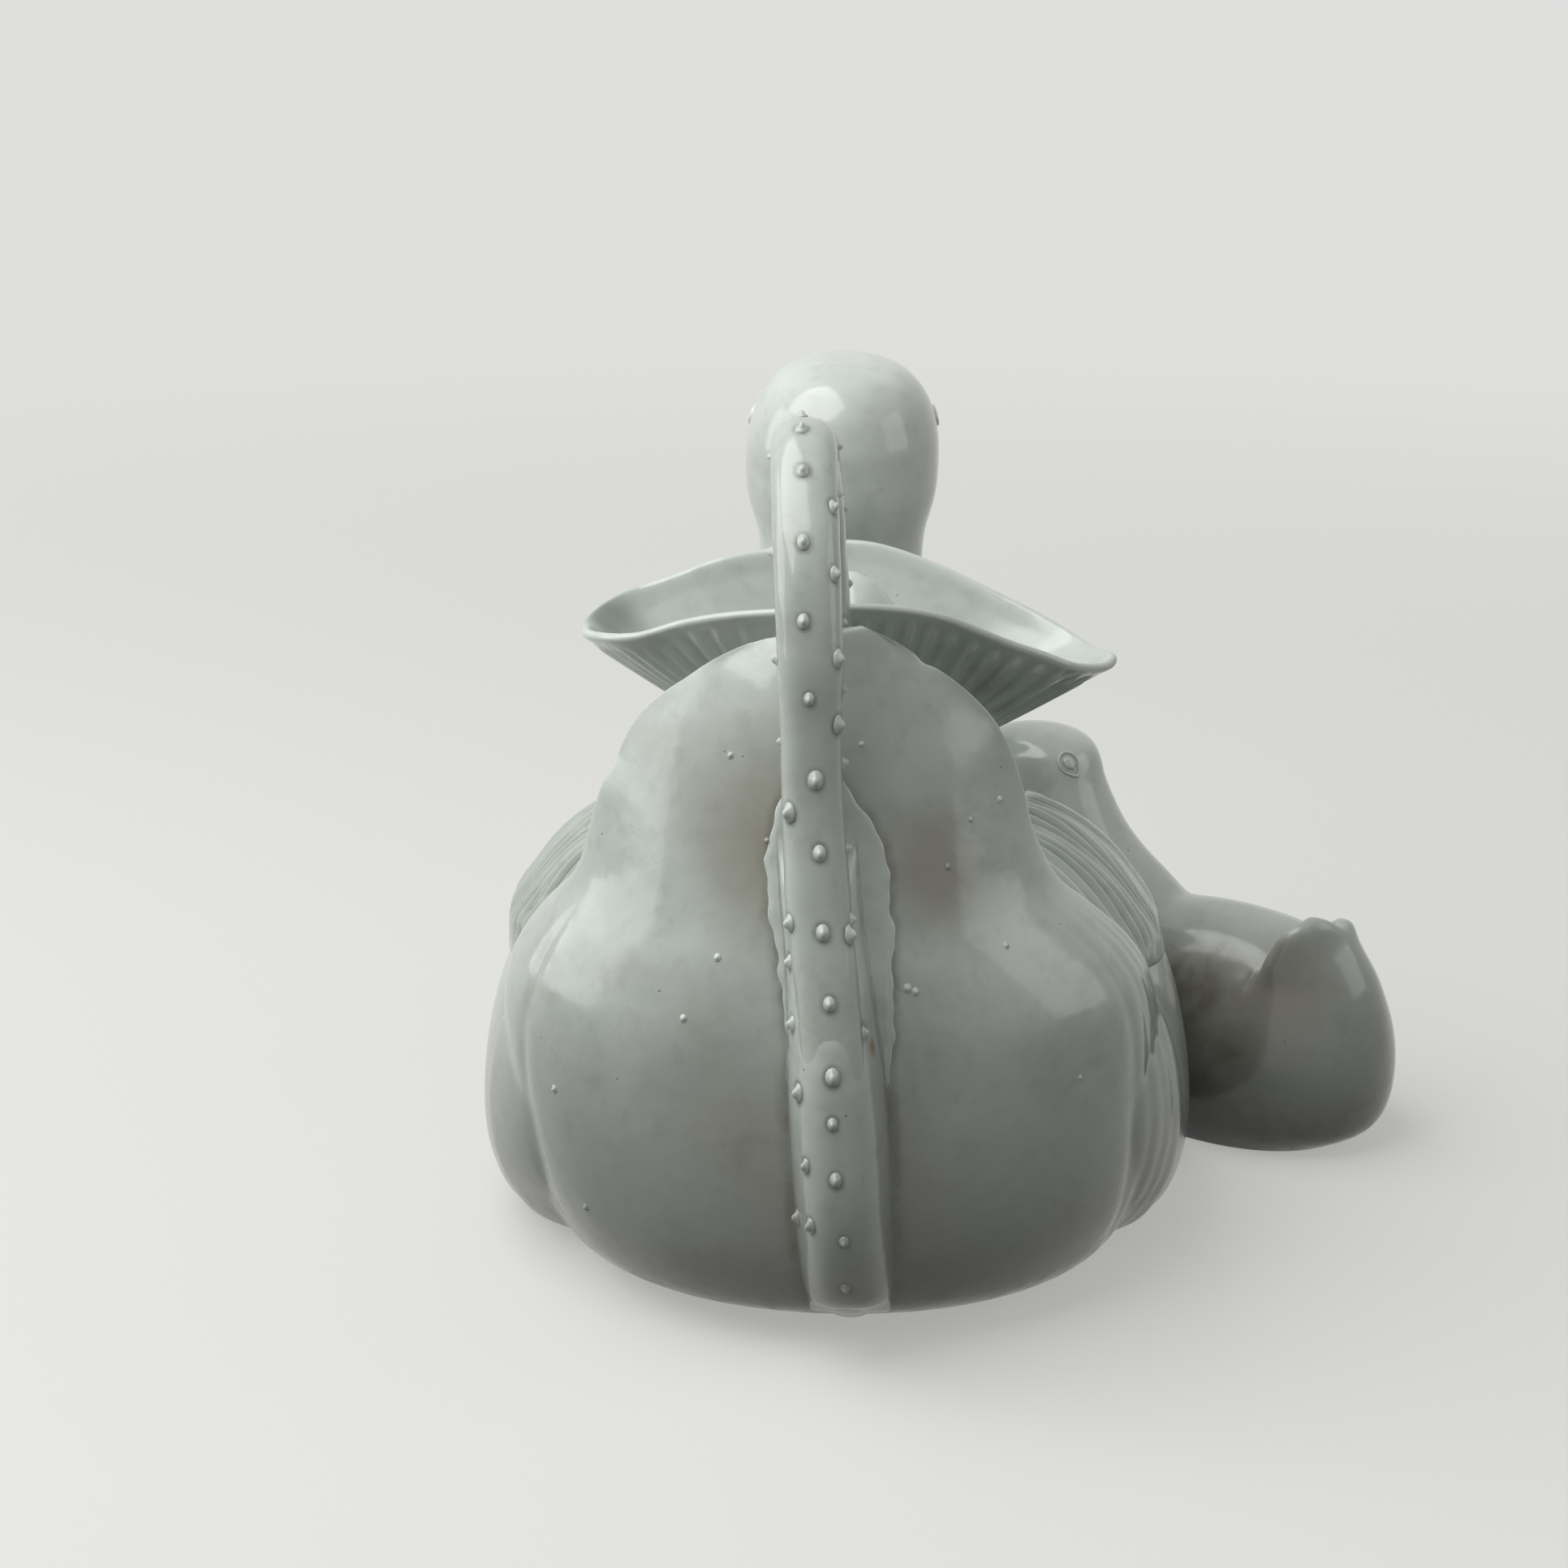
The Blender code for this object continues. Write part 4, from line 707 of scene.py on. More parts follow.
def rub(piece, share, passes):
    """Smooths a piece as a wet thumb does, each point by its own share."""
    places, first, second = mesh_arrays(piece)
    count = len(places)
    degree = np.bincount(first, minlength=count) + np.bincount(second, minlength=count)
    share = (share(places) * 0.6)[:, None]
    for _ in range(passes):
        total = np.stack([
            np.bincount(first, column[second], count) + np.bincount(second, column[first], count)
            for column in places.T], axis=1)
        places += share * (total / np.maximum(degree, 1)[:, None] - places)
    piece.data.vertices.foreach_set("co", places.ravel())
    piece.data.update()
    return piece


def turned(points, angle):
    """Points turned about the upright axis."""
    cosine, sine = math.cos(angle), math.sin(angle)
    moved = points.copy()
    moved[..., 0] = points[..., 0] * cosine - points[..., 1] * sine
    moved[..., 1] = points[..., 0] * sine + points[..., 1] * cosine
    return moved


def into_place(piece):
    """Turns a piece of the smaller bird from its own frame into its place."""
    places = turned(mesh_arrays(piece)[0], SMALL_HEADING) + np.array(SMALL_PLACE)
    piece.data.vertices.foreach_set("co", places.ravel())
    piece.data.update()
    return piece


def egg_points(table, sizes, shares, turns, grow=0.0):
    """Points of an egg-shaped body at shares of the way up it and turns from +X towards +Y."""
    height, half_width, rear, front = sizes
    level, width, back, ahead = rows_at(table, shares).T
    angles = np.atleast_2d(turns)
    across = (half_width * width + grow)[:, None]
    ahead, back = (front * ahead)[:, None], (rear * back)[:, None]
    reach = np.where(np.sin(angles) > 0, ahead, back) + grow
    exponent = 2 / BODY_BLUNTNESS
    x = across * power(np.cos(angles), exponent)
    y = reach * power(np.sin(angles), exponent)
    z = np.broadcast_to((height * level)[:, None], x.shape)
    return np.stack([x, y, z], axis=-1)


def egg_form(name, table, sizes, grow, sides=96, rings=48):
    """Filled body, larger all round by grow, that reaches below the floor."""
    turns = np.linspace(0, math.tau, sides, endpoint=False)
    body = egg_points(table, sizes, np.linspace(0, 1, rings), turns, grow)
    body[..., 2] += grow * np.linspace(0, 1, rings)[:, None]
    foot = body[:1].copy()
    foot[..., 2] -= BODY_WALL
    return loft(name, np.concatenate([foot, body]))


def body_surface():
    """Search tree of the large body without its unevenness."""
    form = egg_form("seat_form", BODY_SHARES, BODY_SIZES, 0.0, BODY_SIDES, BODY_RINGS)
    surface = surface_of(form)
    drop([form])
    return surface


def body_inside():
    """What lies deeper in the large body than a luted piece reaches."""
    return egg_form("inside", BODY_SHARES, BODY_SIZES, -LUTE_DEPTH)


def shell_arcs(table, sizes, shares, places):
    """Outer and inner points of a rump shell. places run from its left edge, 0, to its right, 1."""
    height, half_width, rear, edge_rear, thickness, lean = sizes
    level, width, back, edge, roundness, middle, rim, tilt = rows_at(table, shares).T
    turn = (math.pi * (np.asarray(places) - 0.5))[None, :]
    arch = np.maximum(np.cos(turn), 0) ** (1 + roundness)[:, None]
    across = half_width * width
    side = edge_rear * edge
    thin = thickness * rim
    narrow = across - thin * (1 - roundness * RIM_NARROWING)
    sets = []
    for wide, near, far in ((across, side, rear * back),
                            (narrow, side - thin * roundness, rear * back - thickness * middle)):
        points = np.zeros(arch.shape + (3,))
        points[..., 0] = (lean * tilt)[:, None] + wide[:, None] * np.sin(turn)
        points[..., 1] = -(near[:, None] + (far - near)[:, None] * arch)
        points[..., 2] = (height * level)[:, None]
        sets.append(points)
    return sets


def lobed_shell(table, sizes, shares, places, fan_start, lobe_count, depth):
    """Rump shell whose fan has soft lobes and a rolled lip along its rim only."""
    outer, inner = shell_arcs(table, sizes, shares, places)
    rows = rows_at(table, shares)
    level = rows[:, 0]
    crown = np.asarray(places)[None, :]
    edge = np.minimum(crown, 1 - crown) * math.pi
    fanned = soft_step(level, fan_start, fan_start + 0.12)[:, None]
    hub = sizes[0] * (fan_start + 0.04)
    lean = sizes[5] * rows[:, 7][:, None]
    around = np.arctan2(outer[..., 0] - lean, outer[..., 2] - hub)
    swing = lobe_count * around + 1.1 * np.sin(2.3 * around + 1.0)
    lobes = np.abs(np.sin(swing)) ** 0.75 * (0.65 + 0.35 * np.sin(3.1 * around + 0.6)) - 0.6
    top = np.exp(-((level[-1] - level) / 0.022) ** 2)[:, None]
    rim = np.maximum(np.exp(-(edge / 0.40) ** 2), top)
    push = depth * lobes * rim * fanned
    for grid in (outer, inner):
        grid[..., 0] += np.sin(around) * push
        grid[..., 2] += np.cos(around) * push
    return outer, inner, rim * fanned


def facing(place, aim):
    """Turn of a lamp or camera at a place that looks at an aim."""
    return (Vector(aim) - Vector(place)).to_track_quat("-Z", "Y")


def photo_ray(pixel):
    """Start and direction of the camera's ray through a pixel of the photograph."""
    turn = facing(CAMERA_PLACE, CAMERA_AIM)
    reach = LENS / SENSOR * PHOTO_SIDE
    x = (pixel[0] - PHOTO_SIDE / 2) / reach
    y = (PHOTO_SIDE / 2 - pixel[1]) / reach
    return CAMERA_PLACE, (turn @ Vector((x, y, -1.0))).normalized()


class Nodes:
    """Shorthand for adding and joining the nodes of one tree."""

    def __init__(self, tree):
        self.tree = tree

    def add(self, kind, inputs=None, **settings):
        node = self.tree.nodes.new(kind)
        for key, value in settings.items():
            setattr(node, key, value)
        for key, value in (inputs or {}).items():
            self.feed(node.inputs[key], value)
        return node

    def feed(self, socket, value):
        if isinstance(value, bpy.types.NodeSocket):
            self.tree.links.new(value, socket)
        elif isinstance(value, bpy.types.Node):
            self.tree.links.new(value.outputs[0], socket)
        else:
            socket.default_value = value

    def math(self, operation, first, second=0.0, third=0.0, clamp=False):
        node = self.add("ShaderNodeMath", operation=operation, use_clamp=clamp)
        for socket, value in zip(node.inputs, (first, second, third)):
            self.feed(socket, value)
        return node.outputs[0]

    def times(self, first, second, clamp=False):
        return self.math("MULTIPLY", first, second, clamp=clamp)

    def most(self, first, second):
        return self.math("MAXIMUM", first, second)

    def noise(self, coords, scale, detail=3.0, roughness=0.55):
        texture = self.add("ShaderNodeTexNoise", {
            "Vector": coords, "Scale": scale, "Detail": detail, "Roughness": roughness})
        return texture.outputs["Fac"]

    def ramp(self, value, low, high, to_low=0.0, to_high=1.0):
        """Smooth change from to_low, where the value is low, to to_high, where it is high."""
        node = self.add("ShaderNodeMapRange", {
            "Value": value, "From Min": low, "From Max": high, "To Min": to_low, "To Max": to_high},
            interpolation_type="SMOOTHSTEP")
        return node.outputs["Result"]

    def mix(self, share, first, second):
        """Colour between two, each given as a socket or as three numbers."""
        tones = ((*tone, 1.0) if isinstance(tone, tuple) else tone for tone in (first, second))
        inputs = {"Factor": share, **dict(zip("AB", tones))}
        return self.add("ShaderNodeMix", inputs, data_type="RGBA").outputs["Result"]

    def patch(self, coords, uneven, centre, radius, ragged, core, strength):
        """Ragged round patch: strength inside its core, nothing beyond its radius."""
        away = self.add("ShaderNodeVectorMath", {0: coords, 1: tuple(centre)}, operation="DISTANCE")
        drift = self.math("SUBTRACT", uneven, 0.5)
        ragged_away = self.math("MULTIPLY_ADD", drift, radius * ragged, away.outputs["Value"])
        return self.ramp(ragged_away, radius, radius * core, 0.0, strength)

    def named(self, name, kind="FLOAT"):
        """Value of an attribute in a geometry tree."""
        node = self.add("GeometryNodeInputNamedAttribute", {"Name": name}, data_type=kind)
        return node.outputs[0]

    def stored(self, geometry, name, value):
        """Geometry that keeps a value for each point in an attribute."""
        return self.add("GeometryNodeStoreNamedAttribute",
                        {"Geometry": geometry, "Name": name, "Value": value},
                        data_type="FLOAT", domain="POINT").outputs[0]


def geometry_tree(name, **sizes):
    """New tree and its inputs: the geometry, named sizes, a piece where it is None, a material."""
    tree = bpy.data.node_groups.new(name, "GeometryNodeTree")
    inputs = [("Geometry", "Geometry", None)]
    inputs += [(key, "Object" if size is None else "Float", size) for key, size in sizes.items()]
    for label, kind, size in (*inputs, ("Material", "Material", None)):
        socket = tree.interface.new_socket(label, in_out="INPUT", socket_type="NodeSocket" + kind)
        if size is not None:
            socket.default_value = size
    tree.interface.new_socket("Geometry", in_out="OUTPUT", socket_type="NodeSocketGeometry")
    nodes = Nodes(tree)
    return nodes, nodes.add("NodeGroupInput").outputs


def end_tree(nodes, geometry, material):
    """Ends a tree in Realize Instances and Set Material."""
    real = nodes.add("GeometryNodeRealizeInstances", {0: geometry})
    dressed = nodes.add("GeometryNodeSetMaterial", {"Geometry": real, "Material": material})
    nodes.add("NodeGroupOutput", {0: dressed})
    return nodes.tree


def run_tree(piece, tree, **inputs):
    """Applies a Geometry Nodes tree with the inputs given by their names in small letters."""
    step = piece.modifiers.new(tree.name, "NODES")
    step.node_group = tree
    for item in tree.interface.items_tree:
        if item.in_out == "INPUT" and item.name.lower() in inputs:
            step[item.identifier] = inputs[item.name.lower()]
    return settle(piece)


def ribs_tree():
    """Grooves between ribs that follow the attribute rib_at and fade with rib_fade."""
    nodes, given = geometry_tree("ribs", Count=6.0, Depth=0.001, Fullness=0.6)
    crest_at = 0.68
    part = nodes.math("FRACT", nodes.times(nodes.named("rib_at"), given["Count"]))
    rise = nodes.math("DIVIDE", part, crest_at)
    fall = nodes.math("DIVIDE", nodes.math("SUBTRACT", 1.0, part), 1.0 - crest_at)
    crest = nodes.math("POWER", nodes.math("MINIMUM", rise, fall), given["Fullness"])
    groove = nodes.times(nodes.math("SUBTRACT", 1.0, crest), nodes.named("rib_fade"))
    sink = nodes.times(nodes.times(groove, given["Depth"]), -1.0)
    offset = nodes.add("ShaderNodeVectorMath", {
        0: nodes.add("GeometryNodeInputNormal"), "Scale": sink}, operation="SCALE")
    moved = nodes.add("GeometryNodeSetPosition", {
        "Geometry": given["Geometry"], "Offset": offset})
    return end_tree(nodes, nodes.stored(moved, "groove", groove), given["Material"])


def prickles_tree():
    """A rounded thorn on every point, standing along out, drawn out along the attribute along."""
    nodes, given = geometry_tree(
        "prickles", Radius=0.0016, Height=0.002, Bed=0.0008, Flare=1.0, Stretch=1.4)
    ball = nodes.add("GeometryNodeMeshUVSphere", {"Segments": 14, "Rings": 12, "Radius": 1.0})
    split = nodes.add("ShaderNodeSeparateXYZ", {0: nodes.add("GeometryNodeInputPosition")})
    above = nodes.most(split.outputs[2], 0.0)
    below = nodes.math("MINIMUM", split.outputs[2], 0.0)
    near_foot = nodes.math("POWER", nodes.math("SUBTRACT", 1.0, above), 4.0)
    spread = nodes.math("MULTIPLY_ADD", near_foot, given["Flare"], 0.62)
    wide = nodes.times(spread, given["Radius"])
    tall = nodes.math("MULTIPLY_ADD", below, given["Bed"], nodes.times(above, given["Height"]))
    shape = nodes.add("ShaderNodeCombineXYZ", {
        0: nodes.times(nodes.times(split.outputs[0], wide), given["Stretch"]),
        1: nodes.times(split.outputs[1], wide), 2: tall})
    thorn = nodes.add("GeometryNodeSetPosition", {"Geometry": ball, "Position": shape})
    upright = nodes.add("FunctionNodeAlignRotationToVector",
                        {"Vector": nodes.named("out", "FLOAT_VECTOR")}, axis="Z")
    turn = nodes.add("FunctionNodeAlignRotationToVector",
                     {"Rotation": upright, "Vector": nodes.named("along", "FLOAT_VECTOR")},
                     axis="X", pivot_axis="Z")
    set_out = nodes.add("GeometryNodeInstanceOnPoints", {
        "Points": given["Geometry"], "Instance": thorn, "Rotation": turn,
        "Scale": nodes.named("girth")})
    return end_tree(nodes, set_out, given["Material"])


def joint_tree():
    """Marks in the attribute joint how close the surface comes to a neighbouring piece."""
    nodes, given = geometry_tree("joints", Neighbour=None, Reach=0.004)
    other = nodes.add("GeometryNodeObjectInfo", {"Object": given["Neighbour"]},
                      transform_space="RELATIVE")
    near = nodes.add("GeometryNodeProximity", {0: other.outputs["Geometry"]},
                     target_element="FACES")
    share = nodes.math("DIVIDE", near.outputs["Distance"], given["Reach"])
    close = nodes.math("SUBTRACT", 1.0, share, clamp=True)
    joint = nodes.most(nodes.times(close, close), nodes.named("joint"))
    return end_tree(nodes, nodes.stored(given["Geometry"], "joint", joint), given["Material"])


def mark_curves(piece, sharpest, passes=3):
    """Stores how hollow, positive, or ridged, negative, the surface is in the attribute curve."""
    mesh = piece.data
    count = len(mesh.vertices)
    co, a, b = mesh_arrays(piece)
    normal = np.zeros(count * 3)
    mesh.vertex_normals.foreach_get("vector", normal)
    normal = normal.reshape(-1, 3)
    step = co[b] - co[a]
    squared = np.maximum(np.sum(step * step, axis=1), 1e-12)
    total = np.bincount(a, np.sum(step * normal[a], axis=1) / squared, count)
    total += np.bincount(b, -np.sum(step * normal[b], axis=1) / squared, count)
    degree = np.maximum(np.bincount(a, minlength=count) + np.bincount(b, minlength=count), 1)
    bend = total / degree
    for _ in range(passes):
        spread = np.bincount(a, bend[b], count) + np.bincount(b, bend[a], count)
        bend = 0.5 * bend + 0.5 * spread / degree
    keep_values(mesh, "curve", np.tanh(bend * sharpest).astype(np.float32))


def new_finish(name):
    """New material: itself, its nodes, its shader and the object's coordinates."""
    material = bpy.data.materials.new(name)
    material.use_nodes = True
    nodes = Nodes(material.node_tree)
    coords = nodes.add("ShaderNodeTexCoord").outputs["Object"]
    return material, nodes, material.node_tree.nodes["Principled BSDF"], coords


def make_glaze(name, stains=(), soot=0.25, washes=(), pale=0.0):
    """Glossy greyish-white glaze: green where it pools, pale on edges, with stains and specks, and
    painted shade in grooves, near joints and towards the bottom. pale makes the whole glaze paler,
    or darker when negative: painted light or painted shade for each piece.
    """
    look = bpy.context.scene.ewer_glaze
    edge, dirt = tuple(look.edge), tuple(look.dirt)
    material, nodes, shader, coords = new_finish(name)
    curve, groove, joint = (nodes.add("ShaderNodeAttribute", attribute_name=key).outputs["Fac"]
                            for key in ("curve", "groove", "joint"))
    broad = nodes.noise(coords, 22.0)
    blotch = nodes.noise(coords, 34.0, 6.0, 0.62)
    uneven = nodes.noise(coords, 55.0, 2.0, 0.5)
    bloom = nodes.noise(coords, 70.0, 5.0, 0.6)
    fine = nodes.noise(coords, 160.0, 5.0)
    mottle = nodes.noise(coords, 620.0, 2.0)

    # pale lifts the whole glaze towards the thin-glaze colour, or sinks it below the plain one when
    # negative: painted light or painted shade
    white = tuple(plain + (thin - plain) * pale for plain, thin in zip(look.white, look.edge))
    # Pool colour: glaze pooled in the hollows, and partly painted shade in the feather grooves and
    # near joints
    hollow = nodes.math("ADD", nodes.times(curve, 1.1), nodes.times(groove, 1.15))
    drift = nodes.times(nodes.ramp(broad, 0.42, 0.75), 0.22)
    pooled_and_shaded = nodes.math("ADD", hollow, drift, clamp=True)
    pooled_and_shaded = nodes.most(pooled_and_shaded, nodes.times(joint, 0.65))
    colour = nodes.mix(pooled_and_shaded, white, tuple(look.pool))
    for pattern, low, high, strength, tint in (
            (blotch, 0.46, 0.72, 0.30 - 0.18 * pale, SMOKE), (bloom, 0.52, 0.70, 0.22, edge),
            (fine, 0.50, 0.72, 0.12, dirt)):
        colour = nodes.mix(nodes.ramp(pattern, low, high, 0.0, strength), colour, tint)
    colour = nodes.mix(nodes.times(curve, -0.9, clamp=True), colour, edge)

    # Darker near neighbouring pieces: partly dirt in the joints, partly painted shade; also
    # speckled darker towards the bottom
    grime_and_shade = nodes.times(nodes.times(joint, nodes.ramp(bloom, 0.40, 0.62)), soot)
    height = nodes.add("ShaderNodeSeparateXYZ", {0: coords}).outputs[2]
    low = nodes.ramp(height, 0.026, 0.0, 0.0, 0.80)
    grime_and_shade = nodes.most(grime_and_shade, nodes.times(low, nodes.ramp(fine, 0.40, 0.70)))
    # Greyer and darker towards the bottom: partly the grey glaze of the lower parts, partly painted
    # shade
    colour = nodes.mix(nodes.ramp(height, 0.115, 0.0, 0.0, 0.80), colour, LOW_GREY_AND_SHADE)
    for centre, radius, strength, tint in washes:
        share = nodes.patch(coords, broad, centre, radius, 0.9, 0.10, strength)
        colour = nodes.mix(share, colour, tint)
    for centre, radius, strength in stains:
        spot = nodes.patch(coords, broad, centre, radius, 1.2, 0.15, strength)
        grime_and_shade = nodes.most(grime_and_shade, nodes.times(spot, nodes.ramp(fine, 0.25, 0.70, 0.35, 1.0)))
    colour = nodes.mix(grime_and_shade, colour, dirt)

    cells = nodes.add("ShaderNodeTexVoronoi", {"Vector": coords, "Scale": 190.0})
    number = nodes.add("ShaderNodeSeparateColor", {0: cells.outputs["Color"]})
    chosen = nodes.math("GREATER_THAN", number.outputs[0], 0.86)
    speck = nodes.times(nodes.ramp(cells.outputs["Distance"], 0.085, 0.035), chosen)
    colour = nodes.mix(nodes.times(speck, 0.75), colour, GRIT)
    nodes.feed(shader.inputs["Base Color"], colour)

    rough = nodes.math("MULTIPLY_ADD", fine, 0.06, look.roughness - 0.03)
    nodes.feed(shader.inputs["Roughness"], nodes.math("MULTIPLY_ADD", grime_and_shade, 0.25, rough))
    shader.inputs["IOR"].default_value = 1.52
    shader.inputs["Coat Weight"].default_value = 0.25
    shader.inputs["Coat Roughness"].default_value = 0.06
    skin = nodes.math("MULTIPLY_ADD", fine, 0.10, nodes.times(mottle, 0.03))
    skin = nodes.math("MULTIPLY_ADD", uneven, 0.55, skin)
    skin = nodes.math("MULTIPLY_ADD", speck, -0.10, skin)
    bump = nodes.add("ShaderNodeBump", {"Height": skin, "Strength": 0.55, "Distance": 0.0016})
    nodes.feed(shader.inputs["Normal"], bump)
    return material


def make_biscuit():
    """Matt unglazed porcelain with scraped streaks and grey grit."""
    look = bpy.context.scene.ewer_glaze
    material, nodes, shader, coords = new_finish("biscuit")
    streaked = nodes.add("ShaderNodeMapping", {"Vector": coords, "Scale": (9.0, 1.0, 1.0)})
    streaks = nodes.noise(streaked.outputs[0], 60.0, 4.0)
    grit = nodes.noise(coords, 900.0, 2.0)
    scraped, dark = (0.58, 0.50, 0.40), (0.30, 0.26, 0.22)
    colour = nodes.mix(nodes.ramp(streaks, 0.35, 0.7), tuple(look.biscuit), scraped)
    colour = nodes.mix(nodes.ramp(grit, 0.62, 0.75), colour, dark)
    nodes.feed(shader.inputs["Base Color"], colour)
    shader.inputs["Roughness"].default_value = 0.78
    height = nodes.math("MULTIPLY_ADD", grit, 0.5, streaks)
    bump = nodes.add("ShaderNodeBump", {"Height": height, "Strength": 0.35, "Distance": 0.0004})
    nodes.feed(shader.inputs["Normal"], bump)
    return material


# Glazes and trees made so far, by name
MADE = {}


def glaze_for(kind, **settings):
    key = "glaze_" + kind
    if key not in MADE:
        MADE[key] = make_glaze(key, **settings)
    return MADE[key]


def tree_for(maker):
    if maker.__name__ not in MADE:
        MADE[maker.__name__] = maker()
    return MADE[maker.__name__]


def dress(piece, material, body, nodes):
    """Gives a finished piece its material and its body, and hides the solids that it stands for."""
    piece.data.materials.clear()
    piece.data.materials.append(material)
    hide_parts(*nodes)
    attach(piece, body)


def wobble(points, normals, scale, seed=0.0, share=1.0):
    """Points moved in and out as a modeller's hands leave them."""
    clay = bpy.context.scene.ewer_clay
    return points + normals * (noise_at(points, scale, seed) * clay.wobble * share)[..., None]


class EWER_OT_body(bpy.types.Operator):
    """Hollow egg-shaped body and the slab that closes it underneath"""

    bl_idname = "ewer.body"
    bl_label = "Body"

    def execute(self, context):
        height = BODY_SIZES[0]
        turns = np.linspace(0, math.tau, BODY_SIDES, endpoint=False)
        outer = egg_points(BODY_SHARES, BODY_SIZES, np.linspace(0, 1, BODY_RINGS), turns)
        normals = grid_normals(outer, outer - np.array([0.0, 0.0, height / 2]))
        fade = soft_step(outer[..., 2], 0.0, 0.02) * soft_step(outer[..., 2], height, 0.10)
        outer = outer + (wobble(outer, normals, 30.0) - outer) * fade[..., None]
        inner = egg_points(BODY_SHARES, BODY_SIZES, np.linspace(0, 0.96, 50), turns, -BODY_WALL)
        inner[..., 2] *= (height - BODY_WALL) / height
        hole = throat_rings((height, height - BODY_WALL), BODY_SIDES)
        body = loft("body_glazed", np.concatenate([outer, hole, inner[::-1]]), wrap=True)
        bore = oval_rings(*neck_rows(np.linspace(0, 0.75, 14), -NECK_WALL), 80)
        carve(body, loft("neck_bore", bore))
        dress(body, glaze_for("body"), "ewer", ["body_shell"])
        slab = frame["nodes"]["base_slab"]
        slab.data.materials.clear()
        slab.data.materials.append(make_biscuit())
        return {"FINISHED"}


def neck_rows(shares, grow=0.0):
    """Centres, half widths and half lengths of the neck's rings."""
    height, reach, width = NECK_SIZES
    level, ahead, wide, long = rows_at(NECK_SHARES, shares).T
    centres = np.stack([np.full_like(level, NECK_X), reach * ahead, height * level], axis=1)
    return centres, width * wide + grow, width * long + grow


def head_rows(seat, sizes, shares, grow=0.0):
    """Centres, half widths and half lengths of a head's rings above its seat."""
    height, width, length, lead = sizes
    level, wide, long, ahead = rows_at(HEAD_SHARES, shares).T
    centres = np.zeros((len(level), 3)) + np.array(seat)
    centres[:, 1] += lead * ahead
    centres[:, 2] += height * level
    return centres, width * wide + grow, length * long + grow


def flare_onto(rings, surface, reach, sunk=-0.0015):
    """Spreads the foot of an upright tube onto a surface and just under it, as a wiped joint."""
    spread = np.array(rings)
    for ring in spread:
        middle = Vector(ring.mean(axis=0))
        for point in ring:
            start = Vector(point)
            place, normal, _, _ = surface.find_nearest(start)
            above = (start - place).dot(normal)
            if above < reach:
                near = max(above, 0.0)
                wide = reach - math.sqrt(max(2 * reach * near - near * near, 0.0))
                wide *= float(soft_step(above, 5 * sunk, sunk))
                aim = start + (start - middle).normalized() * wide
                place, normal, _, _ = surface.find_nearest(aim)
                level = above if above > sunk else min((aim - place).dot(normal), sunk)
                point[:] = place + normal * level
    return spread


class EWER_OT_neck_and_head(bpy.types.Operator):
    """Hollow neck and head in one smooth skin, with the bill and the pressed-on eyes"""

    bl_idname = "ewer.neck_and_head"
    bl_label = "Neck and head"

    def execute(self, context):
        sides = 120
        low = oval_rings(*neck_rows(np.linspace(0.10, 1.0, 70)), sides)
        low = flare_onto(low, body_surface(), 0.012)
        high = oval_rings(*head_rows(HEAD_SEAT, HEAD_SIZES, np.linspace(0.04, 1.0, 60)), sides)
        rings = np.concatenate([low, high])
        # The joint between them, wiped smooth
        for _ in range(30):
            rings[60:84] += 0.25 * (rings[59:83] + rings[61:85] - 2 * rings[60:84])
        normals = grid_normals(rings, rings - rings.mean(axis=1, keepdims=True))
        rings[20:-6] = wobble(rings, normals, 45.0, 2.0)[20:-6]
        bore = oval_rings(*neck_rows(np.linspace(0.10, 1.0, 24), -NECK_WALL), sides)
        hollow = head_rows(HEAD_SEAT, HEAD_SIZES, np.linspace(0.05, 0.70, 16), -HEAD_WALL)
        inner = np.concatenate([bore, oval_rings(*hollow, sides)])
        hub = inner[-1].mean(axis=0)
        roof = [hub + (inner[-1] - hub) * share for share in (0.6, 0.2)]
        tip = rings[-1].mean(axis=0)
        rings[-1] = tip + (rings[-1] - tip) * 0.5
        head = loft("neck_and_head", np.concatenate([np.array(roof)[::-1], inner[::-1], rings]))
        bills = make_bills(head)
        # Paler glaze on the neck, head, bill and eyes: painted light
        material = glaze_for("head", pale=0.95)
        dress(head, material, "ewer", ["neck", "head"])
        for bill, node in zip(bills, ("bill_upper", "bill_lower")):
            dress(bill, material, "ewer", [node])
        surface = surface_of(head)
        for side, word in ((-1, "left"), (1, "right")):
            start = Vector((HEAD_SEAT.x + side * 0.06, HEAD_SEAT.y + EYE_PLACE[0],
                            HEAD_SEAT.z + EYE_PLACE[1]))
            inward = Vector((-side, 0.0, 0.0))
            eye = pressed_eye("eye_of_head_" + word, surface, start, inward, *EYE_SIZES)
            dress(eye, material, "ewer", ["eye_" + word])
        return {"FINISHED"}


def bill_root(seat, sizes):
    """Middle of the bill's root inside a head, and the place along Y of the head's face there."""
    height, _, length, lead = sizes
    _, _, long, ahead = rows_where(HEAD_SHARES, [BILL_LEVEL])[0]
    root = seat + Vector((0.0, lead * ahead, height * BILL_LEVEL))
    return root, root.y + length * long


def bill_arc(root, front, sizes, shares, upward, inset, steps):
    """Half sections of a bill from its root inside the head to its tip."""
    length, half_width, rise, drop, droop = sizes
    _, wide, up, down = rows_where(BILL_SHARES, shares).T
    turns = np.linspace(0, math.pi, steps)
    tall = (rise * up if upward > 0 else drop * down) - inset
    points = np.zeros((len(shares), steps, 3))
    points[..., 0] = root.x + np.outer(half_width * wide - inset, np.cos(turns))
    points[..., 1] = (root.y + (front + length - root.y) * shares)[:, None]
    sink = droop * shares ** 2
    points[..., 2] = root.z - sink[:, None] + upward * (0.0002 + np.outer(tall, np.sin(turns)))
    return points


